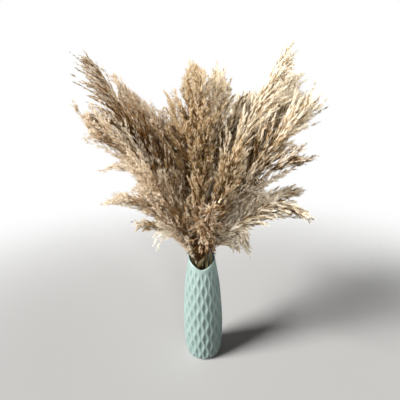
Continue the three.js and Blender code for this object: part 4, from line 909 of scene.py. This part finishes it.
def blade_object(name, path, half, across, fold, material, twist=0.0, taper=0.8):
    """A dry leaf: a thin closed blade, folded along its middle."""
    line = catmull(path)
    n, m = 34, 9
    p, length = even(line, n)
    t = unit(np.gradient(p, axis=0))
    w = np.array(across, float)
    x = unit(w[None] - t * (t @ w)[:, None])
    y = np.cross(t, x)
    s = np.linspace(0, 1, n)
    turn = twist * s
    x2 = x * np.cos(turn)[:, None] + y * np.sin(turn)[:, None]
    y2 = y * np.cos(turn)[:, None] - x * np.sin(turn)[:, None]
    wide = half * np.clip(np.minimum(1, s * 5 + 0.35) * (1 - s**3 * taper) * np.where(s > 0.93, (1 - s) / 0.07 * 0.8 + 0.2, 1), 0.12, None)
    c = np.linspace(-1, 1, m)
    lift = np.abs(c) * fold + 0.10 * np.sin(c * 9)
    mid = p[:, None] + x2[:, None] * (wide[:, None] * c[None])[..., None] + y2[:, None] * (wide[:, None] * lift[None])[..., None]
    thick = 0.16 * (1 - 0.6 * c**2)
    top = mid + y2[:, None] * thick[None, :, None]
    low = mid - y2[:, None] * thick[None, :, None]
    v = np.vstack([top.reshape(-1, 3), low.reshape(-1, 3)])
    f, o = [], n * m
    for i in range(n - 1):
        for j in range(m - 1):
            k = i * m + j
            f += [(k, k + 1, k + m + 1), (k, k + m + 1, k + m)]
            f += [(o + k, o + k + m + 1, o + k + 1), (o + k, o + k + m, o + k + m + 1)]
    rim = [i for i in range(m)] + [i * m + m - 1 for i in range(1, n)] + [(n - 1) * m + j for j in range(m - 2, -1, -1)] + [i * m for i in range(n - 2, 0, -1)]
    for k in range(len(rim)):
        p0, p1 = rim[k], rim[(k + 1) % len(rim)]
        f += [(p0, o + p0, o + p1), (p0, o + p1, p1)]
    soup = Soup()
    soup.add(v, np.array(f), np.zeros((len(v), 2)))
    return soup.object(name, material, uv=False)


# ------------------------------------------------------------------ everything in its place
def carry(piece, node):
    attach(piece, "root")
    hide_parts(node)


carry(make_vase(), "vase")
plumes = {key: grow(reed, STYLE[key]) for key, reed in REEDS.items()}
shade(plumes)
for key, reed in REEDS.items():
    style = STYLE[key]
    made = plume_object("reed_plume_" + reed["node"], plumes[key], style, PALETTES[style["pal"]])
    carry(made, "plume_" + reed["node"])
    carry(stalk_object("reed_stalk_" + reed["node"], reed), "stem_" + reed["node"])
scrap = blade_object("dry_leaf_01", [[31, -71, 362.5], [34.5, -75, 369], [41.5, -76, 373], [48.5, -74, 368.5]], 3.6, (0.35, -0.75, 0.56), 0.35, SCRAP, 0.5)
carry(scrap, "leaf_01")
sheath = blade_object("dry_leaf_02", [[-6.5, -20.5, 214], [-1.5, -21.2, 223], [4.5, -22.4, 232], [10.5, -24.2, 241]], 4.2, (0.82, 0.1, -0.56), 0.25, SHEATH, 0.3)
carry(sheath, "leaf_02")


# ------------------------------------------------------------------ floor and light
def floor():
    """A round pale floor whose rim fades away."""
    n, radii = 96, (0.0, 0.4, 0.8, 1.2, 1.8, 2.6)
    v, f = [(0.0, 0.0, 0.0)], []
    for r in radii[1:]:
        v += [(r * math.cos(2 * math.pi * k / n), r * math.sin(2 * math.pi * k / n), 0.0) for k in range(n)]
    f += [(0, 1 + k, 1 + (k + 1) % n) for k in range(n)]
    for i in range(len(radii) - 2):
        o = 1 + i * n
        f += [(o + k, o + n + k, o + n + (k + 1) % n, o + (k + 1) % n) for k in range(n)]
    me = bpy.data.meshes.new("floor")
    me.from_pydata(v, [], f)
    mat, nt, bsdf = new_material("floor_pale")
    bsdf.inputs["Base Color"].default_value = linear(FLOOR_COLOUR)
    bsdf.inputs["Roughness"].default_value = 0.9
    bsdf.inputs["Specular IOR Level"].default_value = 0.1
    co = nt.nodes.new("ShaderNodeTexCoord")
    far = nt.nodes.new("ShaderNodeVectorMath")
    far.operation = "LENGTH"
    nt.links.new(co.outputs["Object"], far.inputs[0])
    fade = nt.nodes.new("ShaderNodeMapRange")
    fade.interpolation_type = "SMOOTHERSTEP"
    fade.inputs["From Min"].default_value, fade.inputs["From Max"].default_value = FLOOR_FADE
    fade.inputs["To Min"].default_value, fade.inputs["To Max"].default_value = 1.0, 0.0
    nt.links.new(far.outputs["Value"], fade.inputs["Value"])
    nt.links.new(fade.outputs["Result"], bsdf.inputs["Alpha"])
    me.materials.append(mat)
    ob = bpy.data.objects.new("floor", me)
    bpy.context.scene.collection.objects.link(ob)


def sun(name, toward, strength, spread, colour):
    data = bpy.data.lights.new(name, "SUN")
    data.energy = strength
    data.angle = math.radians(spread)
    data.color = colour
    ob = bpy.data.objects.new(name, data)
    ob.rotation_euler = Vector(toward).to_track_quat("Z", "Y").to_euler()
    bpy.context.scene.collection.objects.link(ob)


FLOOR_COLOUR = (166, 166, 166)
FLOOR_FADE = (0.25, 1.5)
floor()
sun("window", (-0.82, -0.36, 0.50), 9.4, 28, (1.0, 0.985, 0.96))


def spot(name, place, aim, watts, cone, blend):
    data = bpy.data.lights.new(name, "SPOT")
    data.energy = watts
    data.spot_size = math.radians(cone)
    data.spot_blend = blend
    data.shadow_soft_size = 0.35
    data.color = (1.0, 0.98, 0.95)
    ob = bpy.data.objects.new(name, data)
    ob.location = place
    ob.rotation_euler = (Vector(aim) - Vector(place)).to_track_quat("-Z", "Y").to_euler()
    bpy.context.scene.collection.objects.link(ob)


spot("soft_front", (0.35, -1.75, 1.25), (0.03, 0.0, 0.575), 360.0, 17.0, 0.60)
spot("soft_side", (1.25, -1.45, 0.85), (0.15, 0.0, 0.47), 210.0, 14.0, 0.90)

world = bpy.data.worlds.new("studio")
world.use_nodes = True
wt = world.node_tree
ambient = wt.nodes["Background"]
ambient.inputs["Color"].default_value = (1.0, 0.99, 0.97, 1)
ambient.inputs["Strength"].default_value = 0.085
pale = wt.nodes.new("ShaderNodeBackground")
pale.inputs["Color"].default_value = (1.0, 1.0, 1.0, 1)
pale.inputs["Strength"].default_value = 1.0
seen = wt.nodes.new("ShaderNodeLightPath")
both = wt.nodes.new("ShaderNodeMixShader")
wt.links.new(seen.outputs["Is Camera Ray"], both.inputs["Fac"])
wt.links.new(ambient.outputs["Background"], both.inputs[1])
wt.links.new(pale.outputs["Background"], both.inputs[2])
wt.links.new(both.outputs["Shader"], wt.nodes["World Output"].inputs["Surface"])
bpy.context.scene.world = world
bpy.context.scene.view_settings.view_transform = "Standard"
